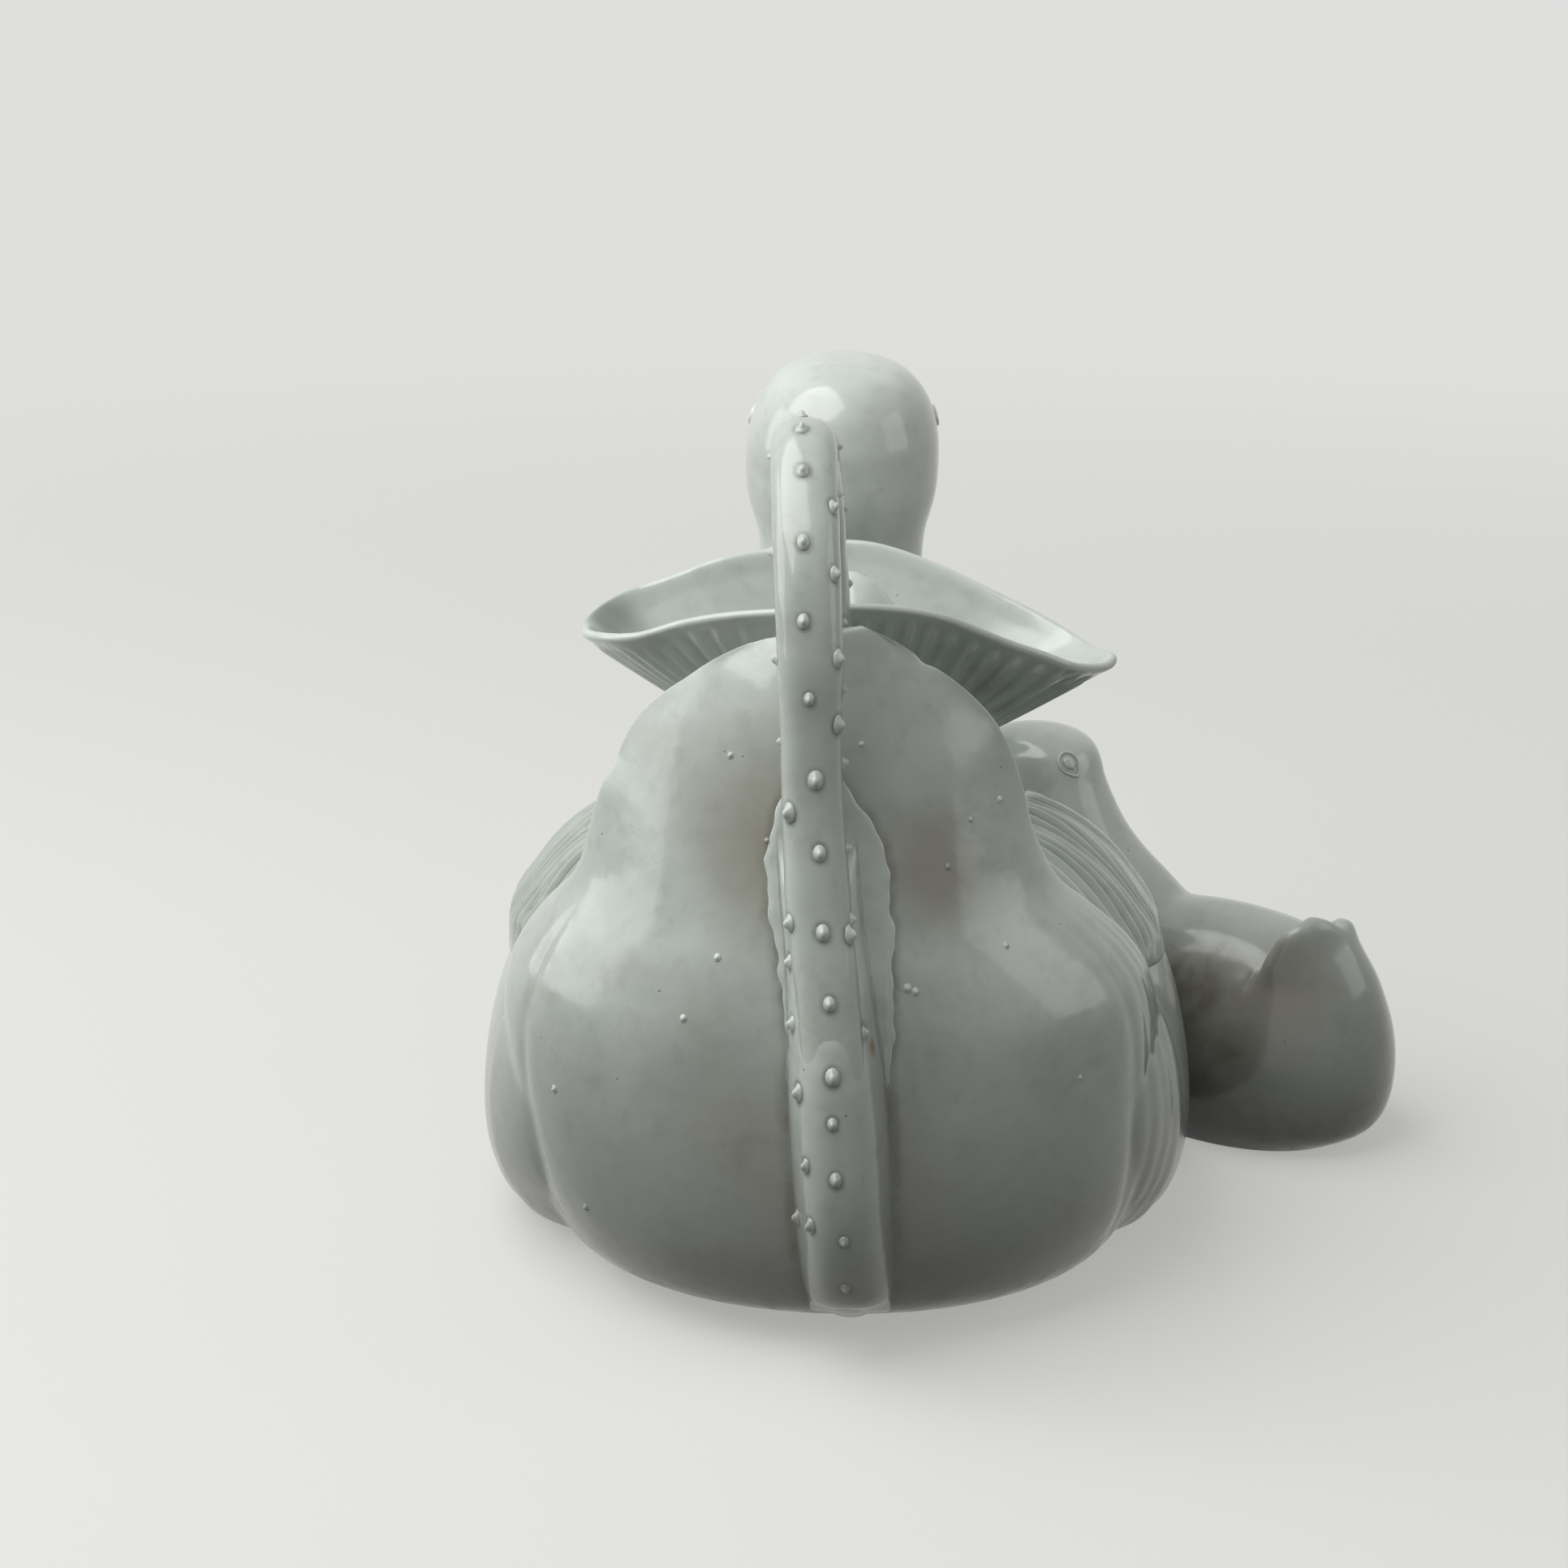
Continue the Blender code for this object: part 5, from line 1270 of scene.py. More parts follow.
def make_bills(head):
    """Upper and lower half of the pouring bill, and the way into them through the head."""
    root, front = bill_root(HEAD_SEAT, HEAD_SIZES)
    overlap = 0.006
    start = (front - overlap - root.y) / (front + BILL_SIZES[0] - root.y)
    shares = np.linspace(start, 1.0, 40)
    halves = []
    for name, upward in (("bill_top", 1), ("bill_bottom", -1)):
        outer, inner = (bill_arc(root, front, BILL_SIZES, shares, upward, inset, 33)
                        for inset in (0.0, BILL_WALL))
        halves.append(shell(name, outer, inner))
    upper, lower = (bill_arc(root, front, BILL_SIZES, np.array([0.0, 1.0]), upward, BILL_WAY, 17)
                    for upward in (1, -1))
    carve(head, loft("way", np.concatenate([upper, lower[:, ::-1][:, 1:-1]], axis=1)))
    return halves


def pressed_eye(name, surface, start, direction, length, depth, drop=0.0, tilt=0.0):
    """Drop-shaped eye with a raised ring and pupil, pressed on where the ray meets the surface."""
    place, normal, _, _ = surface.ray_cast(start, direction)
    side = UP.cross(normal).normalized()
    up = normal.cross(side)
    across = side * math.cos(tilt) + up * math.sin(tilt)
    over = normal.cross(across)
    outer = []
    inner = []
    ring_at, pupil_radius = 0.80, 0.42
    for rho in np.linspace(0.0, 1.0, 26)[1:]:
        ring = math.exp(-((rho - ring_at) / 0.10) ** 2)
        pupil = 1.15 * math.sqrt(max(1 - (rho / pupil_radius) ** 2, 0.0))
        lift = depth * (ring + pupil) - depth * 0.6 * max(rho - 0.9, 0) * 10
        top = []
        bottom = []
        for turn in np.linspace(0, math.tau, 48, endpoint=False):
            tail = 1 + drop * max(math.cos(turn), 0.0) ** 6
            a = rho * length / 2 * math.cos(turn) * tail
            b = rho * length / 2 * math.sin(turn) * 0.86
            spot, out, _, _ = surface.find_nearest(place + across * a + over * b)
            top.append(spot + out * lift)
            bottom.append(spot - out * 0.0012)
        outer.append(top)
        inner.append(bottom)
    return loft(name, inner + outer[::-1])


class EWER_OT_rump(bpy.types.Operator):
    """Rump shell that rises into the scalloped tail fan"""

    bl_idname = "ewer.rump"
    bl_label = "Rump and fan"

    def execute(self, context):
        shares = np.linspace(0, 1, 200)
        places = np.linspace(0, 1, 150)
        outer, inner, rim = lobed_shell(RUMP_SHARES, RUMP_SIZES, shares, places, *FAN_LOBES)
        level = rows_at(RUMP_SHARES, shares)[:, 0]
        normals = grid_normals(outer, np.array([0.0, -1.0, 0.0]))
        edge = np.minimum(places, 1 - places)[None, :] * math.pi
        low = 1 - soft_step(level, 0.50, 0.60)[:, None]
        line = -0.0006 * np.exp(-((edge - RUMP_CREASE) / 0.035) ** 2)
        right = (places > 0.5)[None, :]
        for place in RUMP_FINE_CREASES:
            line = line - 0.00035 * right * np.exp(-((edge - place) / 0.022) ** 2)
        line = line * low * soft_step(level, 0.02, 0.12)[:, None]
        roll = 0.0009 * rim
        outer = wobble(outer, normals, 26.0, 5.0, 2.0)
        self.stand_proud(outer, edge, low)
        rump = shell("rump_and_fan", outer + normals * (line + roll)[..., None], inner)
        soften(rump, 3)
        settle(rump)
        rub(rump, lambda places: 0.5 * soft_step(places[:, 2], 0.120, 0.150), 12)
        keep_above_floor(rump)
        material = glaze_for("rump", stains=RUMP_STAINS, soot=0.7, washes=RUMP_WASHES)
        dress(rump, material, "ewer", ["tail_fan"])
        dress(self.blisters(rump, material), material, "ewer", ["tail_fan"])
        return {"FINISHED"}

    def stand_proud(self, outer, edge, low):
        """Keeps the shell's edge a little above the body that it lies on"""
        body = body_surface()
        share = soft_step(edge, 0.90, 0.45) * low
        for i, j in zip(*np.nonzero(share > 0)):
            point = Vector(outer[i, j])
            place, normal, _, _ = body.find_nearest(point)
            lack = 0.0012 - (point - place).dot(normal)
            if lack > 0:
                outer[i, j] += np.array(normal) * lack * share[i, j]

    def blisters(self, rump, material):
        """Small bumps where the glaze boiled"""
        surface = surface_of(rump)
        hits = [surface.ray_cast(*photo_ray(pixel)) for pixel in BLISTER_PIXELS]
        hits = [hit for hit in hits if hit[0] is not None]
        girths = [0.8 + 0.13 * (index % 4) for index in range(len(hits))]
        spots = spots_of("rump_blisters", [hit[0] for hit in hits], [hit[1] for hit in hits],
                         [UP] * len(hits), girths)
        return run_tree(spots, tree_for(prickles_tree), radius=0.0008, height=0.0007, bed=0.0005,
                        flare=0.6, stretch=1.1, material=material)


def spots_of(name, points, outs, alongs, girths):
    """Loose points that carry the turn and size of the form to be set on each."""
    mesh = bpy.data.meshes.new(name)
    mesh.from_pydata([tuple(point) for point in points], [], [])
    keep_values(mesh, "out", np.ravel(outs), "FLOAT_VECTOR")
    keep_values(mesh, "along", np.ravel(alongs), "FLOAT_VECTOR")
    keep_values(mesh, "girth", girths)
    return add_object(name, mesh)


def keep_above_floor(piece):
    mesh = piece.data
    for vertex in mesh.vertices:
        if vertex.co.z < FLOOR_CLEARANCE:
            vertex.co.z = FLOOR_CLEARANCE


def feathered_wing(name, table, sizes, wing_table, clay, grid, side):
    """Raised panel over one side of a body, which carries the places of its feather grooves."""
    thickness, sink, swing, base = clay
    rows, columns = grid
    angles = np.linspace(wing_table[0][0], wing_table[-1][0], rows)
    _, low, high = rows_where(wing_table, angles).T
    level = np.linspace(0, 1, columns)[None, :]
    heights = low[:, None] + (high - low)[:, None] * level
    turns = np.radians(np.repeat(angles, columns))[:, None]
    foot = egg_points(table, sizes, heights.ravel(), turns).reshape(rows, columns, 3)
    normals = grid_normals(foot, foot - np.array([0.0, 0.0, sizes[0] / 2]))
    along = np.linspace(0, 1, rows)[:, None]
    edge = np.sqrt(np.clip(np.sin(math.pi * (0.03 + 0.94 * level)), 0, 1))
    ends = soft_step(along, -0.02, 0.06) * soft_step(along, 1.0, 0.72)
    proud = (thickness * edge ** 1.2 + base) * (0.15 + 0.85 * ends)
    belly = 0.25 * thickness * np.exp(-((level - 0.16) / 0.10) ** 2) * ends
    # The grooves close in on the bend towards the wing's lower edge
    bend = 0.36
    ahead = along - bend
    sweep = bend + ahead + (0.5 * ahead + 0.9 * np.maximum(ahead, 0) ** 2) * (1 - level)
    drift = 0.010 * np.sin(6 * level + swing)
    rib_at = sweep + drift + 0.011 * np.sin(31 * along + 4 * level + swing)
    rib_fade = soft_step(level, 0.02, 0.20) * soft_step(level, 1.0, 0.92) * ends
    rib_fade = rib_fade * (0.60 + 0.40 * np.sin(37 * rib_at + 5.0 * level + swing))
    top = foot + normals * (proud + belly)[..., None]
    bottom = foot - normals * sink
    rings = np.concatenate([top, bottom[:, ::-1]], axis=1) * np.array([side, 1.0, 1.0])
    none = np.zeros_like(rib_fade)
    values = {"rib_at": np.concatenate([np.broadcast_to(rib_at, none.shape), none], axis=1),
              "rib_fade": np.concatenate([rib_fade, none], axis=1)}
    return loft(name, rings, cap="ladder", values=values)


class EWER_OT_wings(bpy.types.Operator):
    """Folded wings with long feather grooves"""

    bl_idname = "ewer.wings"
    bl_label = "Wings"

    def execute(self, context):
        clay = context.scene.ewer_clay
        # Darker glaze on the wings: painted shade
        material = glaze_for("wings", soot=0.5, pale=-1.1)
        for side, word in ((-1, "left"), (1, "right")):
            wing = feathered_wing("feathers_" + word, BODY_SHARES, BODY_SIZES, WING_SHARES,
                                  WING_CLAY[word], WING_GRID, side)
            run_tree(wing, tree_for(ribs_tree), count=clay.feather_count,
                     depth=clay.feather_depth, fullness=FEATHER_FULLNESS, material=material)
            dress(wing, material, "ewer", ["wing_" + word])
        return {"FINISHED"}


def leaf_rim(turns):
    """Points of the leaf's rim, which is pinched in at the right end and full at the left one."""
    across = np.cos(turns)
    order = np.argsort(across)
    rise = np.empty_like(across)
    rise[order] = rows_where(LEAF_RIM_SHARES, across[order])[:, 1]
    bottom = BODY_SIZES[0] + 0.005
    wave = 0.0005 * np.sin(4 * turns + 0.7) + 0.0003 * np.sin(9 * turns + 1.0)
    right = soft_step(across, 0.0, 0.4) * soft_step(across, 1.0, 0.7)
    near = soft_step(-np.sin(turns), 0.0, 0.6) * right
    pinch = 1 - 0.45 * soft_step(across, 0.80, 1.0) + 0.45 * soft_step(-across, 0.60, 0.92)
    x = LEAF_X + LEAF_HALF_WIDTH * across
    y = THROAT.y + LEAF_HALF_DEPTH * np.sin(turns) * pinch
    z = bottom + (LEAF_RIM_HEIGHT - bottom) * rise + wave + 0.0022 * near
    return np.stack([x, y, z], axis=-1)


def leaf_sheet(shares, turns):
    """Outer surface of the leaf from the throat, share 0, to the rim, share 1."""
    x = THROAT.x + COLLAR_RADIUS * np.cos(turns)
    y = THROAT.y + COLLAR_RADIUS * np.sin(turns)
    start = np.stack([x, y, np.full_like(turns, BODY_SIZES[0] + COLLAR_HEIGHT)], axis=-1)
    end = leaf_rim(turns)
    share = np.asarray(shares)[:, None, None]
    points = start[None] + (end - start)[None] * share
    rise = (end[:, 2] - start[:, 2])[None] * share[..., 0] ** LEAF_BOWL
    points[..., 2] = start[None, :, 2] + rise
    return points


def leaf_normals(sheet):
    away = sheet - np.array([THROAT.x, THROAT.y, 0.16])
    return grid_normals(sheet, away * np.array([1.0, 1.0, -0.2]))


def seen_at(surface, pixel):
    """Point of a surface seen at a pixel of the photograph."""
    place = surface.ray_cast(*photo_ray(pixel))[0]
    if place is None:
        raise RuntimeError(f"nothing of the surface is seen at {pixel}")
    return place


def marks_on(piece, rows):
    """Stains or washes with their pixels turned into places on a piece."""
    surface = surface_of(piece)
    return [(seen_at(surface, pixel), *rest) for pixel, *rest in rows]


class EWER_OT_leaf(bpy.types.Operator):
    """Lotus leaf funnel on its collar, with the loose bud stopper"""

    bl_idname = "ewer.leaf"
    bl_label = "Leaf and bud"

    def execute(self, context):
        self.leaf(context.scene.ewer_clay)
        self.collar()
        self.bud()
        return {"FINISHED"}

    def leaf(self, clay):
        """Thin funnel with a rolled rim and veins, open into the throat"""
        count = LEAF_COLUMNS
        turns = np.linspace(0, math.tau, count, endpoint=False)
        shares = np.linspace(0, 1, 60)
        outer = leaf_sheet(shares, turns)
        normals = leaf_normals(outer)
        swell = soft_step(shares, 0.90, 1.0)[:, None, None]
        outer = outer + normals * swell * LEAF_SWELL
        wall = (LEAF_WALL - LEAF_THINNING * shares)[:, None, None] + swell * LEAF_LIP
        inner = outer - normals * wall
        middle = (outer[-1] + inner[-1]) / 2
        half = (outer[-1] - inner[-1]) / 2
        tip = outer[-1] - outer[-2]
        long = np.linalg.norm(tip, axis=-1, keepdims=True)
        tip *= np.linalg.norm(half, axis=-1, keepdims=True) / long
        bends = np.linspace(0, math.pi, 9)[1:-1]
        rim = [middle + half * math.cos(bend) + tip * math.sin(bend) for bend in bends]
        floor = BODY_SIZES[0] + COLLAR_HEIGHT
        hole = throat_rings((floor, floor + 0.0032), count)
        rings = np.concatenate([outer, rim, inner[::-1], hole[::-1]])
        depth = np.concatenate([shares, np.zeros(len(rim) + len(shares) + 2)])[:, None]
        fan_in = soft_step(depth, 0.08, 0.35) * soft_step(depth, 0.985, 0.90)
        strength = soft_step(np.sin(5 * turns + 2.0 * np.sin(3 * turns)), -0.6, 0.6)[None, :]
        rib_at = turns / math.tau + 0.007 * np.sin(5 * turns)
        leaf = loft("lotus_leaf", rings, wrap=True, values={
            "rib_at": np.broadcast_to(rib_at[None, :], (len(rings), count)),
            "rib_fade": fan_in * (0.25 + 0.75 * strength)})
        # The leaf's washes are painted shade, and pale=0.7 makes its whole glaze paler: painted
        # light
        material = glaze_for("leaf", stains=marks_on(leaf, LEAF_STAINS), soot=0.6,
                             washes=marks_on(leaf, LEAF_SHADE_WASHES), pale=0.7)
        run_tree(leaf, tree_for(ribs_tree), count=LEAF_VEINS, depth=-clay.vein_depth,
                 fullness=0.60, material=material)
        leaf.data.attributes.remove(leaf.data.attributes["groove"])
        dress(leaf, material, "ewer", ["leaf_funnel"])

    def collar(self):
        """Ring of clay wiped onto the body round the throat"""
        low = BODY_SIZES[0]
        profile = [(THROAT_RADIUS, low)]
        profile += [(COLLAR_RADIUS + out, low + up) for out, up in COLLAR_CORNERS]
        profile += [(THROAT_RADIUS, low + COLLAR_HEIGHT - 0.0001)]
        collar = lathe("throat_ring", profile, THROAT, 96, wrap=True)
        bend = collar.modifiers.new("round", "SUBSURF")
        bend.levels = bend.render_levels = 1
        settle(collar)
        # The collar takes the wings' darker glaze, with its painted shade
        dress(collar, glaze_for("wings"), "ewer", ["throat_collar"])

    def bud(self):
        """Loose stopper: a bud over a plug with a narrowed end"""
        seat = BODY_SIZES[0] + BUD_SEAT
        plug = THROAT_RADIUS - PLUG_GAP
        end = seat - PLUG_LENGTH
        profile = [(0.0040, end), (plug - 0.0014, end), (plug, seat - 0.0126)]
        profile += [(BUD_RADIUS * radius, seat + BUD_HEIGHT * level)
                    for level, radius in rows_where(BUD_SHARES, np.linspace(0, 1, 60))]
        bud = lathe("bud", profile, THROAT, 120)
        # Paler glaze on the bud: painted light
        dress(bud, glaze_for("bud", soot=0.2, pale=0.6), "stopper", ["bud_stopper"])


def stem_frame(shares):
    """Centres, outer sides, sideways directions and radii along the stem."""
    lean, rear, height = STEM_SIZES
    rows = rows_at(STEM_SHARES, shares)
    centres = np.stack([lean * rows[:, 0], -rear * rows[:, 1], height * rows[:, 2]], axis=1)
    step = 0.003
    ahead = rows_at(STEM_SHARES, np.asarray(shares) + step)
    behind = rows_at(STEM_SHARES, np.asarray(shares) - step)
    sizes = np.array([lean, -rear, height])
    along = (ahead - behind)[:, :3] * sizes
    along /= np.linalg.norm(along, axis=1, keepdims=True)
    outward = np.cross(np.array([1.0, 0.0, 0.0]), along)
    outward /= np.linalg.norm(outward, axis=1, keepdims=True)
    side = np.cross(outward, along)
    return centres, outward, side, STEM_RADIUS * rows[:, 3]


class EWER_OT_handle(bpy.types.Operator):
    """Prickly lotus stem and the slip that beds it on the rump"""

    bl_idname = "ewer.handle"
    bl_label = "Handle"

    def execute(self, context):
        clay = context.scene.ewer_clay
        shares = np.linspace(0.045, 0.995, 620)
        centres, outward, side, radius = stem_frame(shares)
        turns = np.linspace(0, math.tau, 56, endpoint=False)
        wide = power(np.sin(turns), STEM_SQUARENESS)
        tall = STEM_FLATNESS * power(np.cos(turns), STEM_SQUARENESS)
        spread = side[:, None] * wide[None, :, None] + outward[:, None] * tall[None, :, None]
        rings = centres[:, None] + spread * radius[:, None, None]
        rings = rings + spread * (noise_at(rings, 90.0, 3.0) * 0.00028)[..., None]
        rings[..., 2] = np.maximum(rings[..., 2], FLOOR_CLEARANCE)
        stem = loft("lotus_stem", rings)
        sheet = leaf_sheet(np.linspace(0, 1, 20), np.linspace(0, math.tau, 120, endpoint=False))
        carve(stem, loft("leaf_form", sheet - leaf_normals(sheet) * 0.0012))
        material = glaze_for("stem", soot=0.8)
        rump = bpy.data.objects["rump_and_fan"]
        # Marks where the stem meets the rump, where dirt and painted shade darken it
        run_tree(stem, tree_for(joint_tree), neighbour=rump, reach=0.004, material=material)
        dress(stem, material, "ewer", ["handle_stem"])
        self.bed()
        thorns = self.thorns(clay, material)
        keep_above_floor(thorns)
        dress(thorns, material, "ewer", ["handle_stem"])
        return {"FINISHED"}

    def thorns(self, clay, material):
        """Prickles where the photograph shows them, then rows of others on the hidden sides"""
        chance = np.random.default_rng(7)
        places, outs, alongs = [], [], []
        dense = np.linspace(0.03, 0.99, 500)
        line, outward, side, _ = stem_frame(dense)
        forms = [surface_of(bpy.data.objects[name]) for name in ("lotus_stem", "stem_bed")]
        for pixel in PRICKLE_PIXELS:
            hits = [form.ray_cast(*photo_ray(pixel)) for form in forms]
            hits = [hit for hit in hits if hit[0] is not None]
            if hits:
                place, normal, _, _ = min(hits, key=lambda hit: hit[3])
                nearest = int(np.argmin(np.linalg.norm(line - np.array(place), axis=1)))
                places.append(np.array(place))
                outs.append(np.array(normal))
                alongs.append(np.cross(side[nearest], outward[nearest]))
        for turn_share, first, last, number in PRICKLE_SHARES:
            shares = np.linspace(first, last, number) + chance.uniform(-0.004, 0.004, number)
            centres, outward, side, radius = stem_frame(shares)
            turns = math.tau * (turn_share + chance.uniform(-0.02, 0.02, number))
            out = side * np.sin(turns)[:, None] + outward * np.cos(turns)[:, None]
            spots = centres + out * (radius * 0.95)[:, None]
            free = [min(np.linalg.norm(spot - place) for place in places) > PRICKLE_ROOM
                    for spot in spots]
            places += list(spots[free])
            outs += list(out[free])
            alongs += list(np.cross(side, outward)[free])
        girths = chance.uniform(0.75, 1.15, len(places))
        spots = spots_of("stem_prickles", places, outs, alongs, girths)
        return run_tree(spots, tree_for(prickles_tree), radius=clay.prickle_radius,
                        height=clay.prickle_height, bed=0.0008, flare=0.50, stretch=1.35,
                        material=material)

    def slip_edge(self, rump, pixels):
        """Heights and places along X of an edge of the slip, from the lowest up"""
        hits = [seen_at(rump, pixel) for pixel in pixels]
        return np.array(sorted((hit.z, hit.x) for hit in hits)).T

    def bed(self):
        """Ridge that joins the stem's foot to the rump, and the thin ragged slip beside it"""
        rump = surface_of(bpy.data.objects["rump_and_fan"])
        rows, columns = 260, 130
        centres, outward, _, radius = stem_frame(np.linspace(0.02, 0.455, rows))
        left, right = (self.slip_edge(rump, pixels)
                       for pixels in (SLIP_LEFT_PIXELS, SLIP_RIGHT_PIXELS))
        places = np.linspace(-1, 1, columns)
        outer = np.zeros((rows, columns, 3))
        inner = np.zeros_like(outer)
        for i, (centre, thick) in enumerate(zip(centres, radius)):
            height = centre[2]
            # How much of the ridge is left, of its broad foot, and of the slip beside it
            share = (1 - 0.35 * float(soft_step(height, 0.090, 0.118))
                     - 0.65 * float(soft_step(height, 0.118, 0.138)))
            foot = 1 - float(soft_step(height, 0.066, 0.118))
            free = float(soft_step(height, 0.070, 0.088))
            crown = float(soft_step(rows - 1 - i, 0, 34)) ** 0.5
            ends = min(i, rows - 1 - i) / 12
            brim = (1.20 + 0.34 * foot) * thick
            ragged = noise_at(np.array([[0.0, 0.0, height], [0.3, 0.0, height]]), 260.0)
            reaches = (centre[0] - np.interp(height, *left), np.interp(height, *right) - centre[0])
            wide = []
            for reach, rough in zip(reaches, ragged):
                slip_edge = 0.8 * thick + (reach - 0.8 * thick) * crown + 0.0011 * rough
                wide.append(1.72 * thick * (1 - free) + max(slip_edge, 0.7 * thick) * free)
            face = centre[1] - STEM_FLATNESS * thick / max(-outward[i][1], 0.55)
            for j, place in enumerate(places):
                off = place * (wide[1] if place > 0 else wide[0])
                start = Vector((centre[0] + off, -0.3, max(height, FLOOR_CLEARANCE)))
                spot, out, _, _ = rump.ray_cast(start, Vector((0.0, 1.0, 0.0)))
                slope = max(1 - (abs(off) / brim) ** (2 + 0.6 * foot), 0.0) ** 0.65
                ridge = share * slope * max(spot.y - face - 0.0007 + 0.0012 * foot, 0.0)
                slip = 0.0006 * free * min((1 - abs(place)) * 9, ends, 1.0) ** 0.5 - 0.0002
                slip += 0.00025 * free * noise_at(np.array([start.x, 0.0, height]), 240.0, 3.0)
                if place in (-1.0, 1.0) or i in (0, rows - 1):
                    slip = -0.0004
                    ridge = 0.0 if abs(place) == 1.0 else ridge
                outer[i, j] = spot + Vector((0.0, -1.0, 0.0)) * ridge + out * slip
                inner[i, j] = spot - out * LUTE_DEPTH
        bed = shell("stem_bed", outer, inner)
        keep_above_floor(bed)
        mark = seen_at(surface_of(bed), OCHRE_PIXEL)
        washes = ((mark, 0.0035, 0.85, OCHRE), (mark + UP * 0.010, 0.0028, 0.6, OCHRE))
        # Paler glaze on the bed: painted light
        dress(bed, glaze_for("bed", soot=0.8, washes=washes, pale=0.3), "ewer", ["handle_seat"])


def small_softness(places):
    """How much the smaller bird's joints are wiped: most below its fan, least on the fan's rim."""
    fan = soft_step(places[:, 2], 0.042, 0.052) * soft_step(places[:, 1], -0.004, -0.022)
    merge = soft_step(places[:, 2], 0.052, 0.044) * soft_step(places[:, 1], 0.020, 0.005)
    return (0.30 + 0.70 * merge) * (1 - fan) + 0.05 * fan


class EWER_OT_small_bird(bpy.types.Operator):
    """Smaller bird in one smooth skin, with its feathers, bill and eyes"""

    bl_idname = "ewer.small_bird"
    bl_label = "Smaller bird"

    def execute(self, context):
        seat = Vector((0.0, SMALL_NECK_SIZES[1], SMALL_NECK_SIZES[0]))
        skin = self.skin(seat)
        # Paler glaze on the smaller bird: painted light
        material = glaze_for("small_bird", stains=marks_on(skin, SMALL_STAINS), soot=0.9,
                             washes=marks_on(skin, SMALL_WASHES), pale=0.3)
        surface = surface_of(skin)
        dress(skin, material, "ewer",
              ["duckling_body", "duckling_neck", "duckling_head", "duckling_tail_fan"])
        eye = pressed_eye("small_eye_left", surface, *photo_ray(SMALL_EYE_PIXEL), *SMALL_EYE)
        dress(eye, material, "ewer", ["duckling_eye_left"])
        self.far_eye(surface, material)
        self.wings(material)
        self.bill(seat, material)
        return {"FINISHED"}

    def skin(self, seat):
        """Body, neck, head and fan in one skin, hollow from below and cut by the large body"""
        skin = egg_form("small_bird", SMALL_BODY_SHARES, SMALL_SIZES, 0.0)
        height, reach, width = SMALL_NECK_SIZES
        level, ahead, wide, long = rows_at(SMALL_NECK_SHARES, np.linspace(0, 1, 40)).T
        centres = np.stack([0 * level, reach * ahead, height * level], axis=1)
        neck = loft("small_neck", oval_rings(centres, width * wide, width * long, 72))
        rows = head_rows(Vector((0.0, 0.0, 0.0)), SMALL_HEAD_SIZES, np.linspace(0, 1, 40))
        rings = turned(oval_rings(*rows, 72), SMALL_HEAD_TURN) + np.array(seat)
        head = loft("small_head", rings)
        shares, places = np.linspace(0, 1, 90), np.linspace(0, 1, 70)
        outer, inner, _ = lobed_shell(SMALL_TAIL_SHARES, SMALL_TAIL_SIZES, shares, places,
                                      *SMALL_FAN_LOBES)
        self.round_crown(outer, inner, shares, places)
        fuse(skin, [neck, head, shell("small_tail", outer, inner)], SMALL_GRAIN, 4)
        rub(skin, small_softness, 220)
        rub(skin, lambda places: np.full(len(places), 0.6), 16)
        into_place(skin)
        low_sizes = (SMALL_SIZES[0] * 0.62, *SMALL_SIZES[1:])
        hollow = into_place(egg_form("hollow", SMALL_BODY_SHARES, low_sizes, -0.005, 64, 24))
        return carve(skin, body_inside(), hollow, floor_form())

    def round_crown(self, outer, inner, shares, places):
        """Lets the fan's top fall off at both ends and reach further to the left"""
        level = rows_at(SMALL_TAIL_SHARES, shares)[:, 0][:, None]
        crown = soft_step(level, 0.86, 1.0)
        ends = np.sin(math.pi * (places - 0.5))[None, :]
        left = soft_step(-ends, 0.1, 1.0) * soft_step(level, 0.70, 0.92)
        right = soft_step(ends, 0.0, 1.0) * soft_step(level, 0.35, 0.60)
        right = right * soft_step(level, 1.0, 0.88)
        shift = 0.0010 * crown * soft_step(ends, 0.0, 1.0) - 0.0045 * left - 0.0018 * right
        for grid in (outer, inner):
            grid[..., 2] -= np.where(ends > 0, 0.0017, 0.0004) * crown * ends ** 2
            grid[..., 2] += 0.0042 * soft_step(level, 0.75, 1.0) * soft_step(-ends, 0.1, 1.0)
            grid[..., 2] -= 0.0018 * crown * np.exp(-((ends - 0.05) / 0.25) ** 2)
            grid[..., 1] -= 0.0030 * crown * ends ** 2
            grid[..., 0] += shift

    def far_eye(self, surface, material):
        """Eye on the side that the photograph hides, where its solid is"""
        centre = sum(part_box("duckling_eye_right"), Vector()) / 2
        middle = sum(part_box("duckling_head"), Vector()) / 2
        out = Vector((centre.x - middle.x, centre.y - middle.y, 0.0)).normalized()
        eye = pressed_eye("small_eye_right", surface, centre + out * 0.02, -out, *SMALL_EYE)
        dress(eye, material, "ewer", ["duckling_eye_right"])

    def wings(self, material):
        """Low wings that hardly rise from the small body"""
        for side, word in ((-1, "left"), (1, "right")):
            wing = feathered_wing("small_feathers_" + word, SMALL_BODY_SHARES, SMALL_SIZES,
                                  SMALL_WING_SHARES, SMALL_WING_CLAY, SMALL_WING_GRID, side)
            run_tree(into_place(wing), tree_for(ribs_tree), count=SMALL_FEATHERS,
                     depth=SMALL_GROOVE, fullness=FEATHER_FULLNESS, material=material)
            carve(wing, body_inside())
            dress(wing, material, "ewer", ["duckling_wing_" + word])

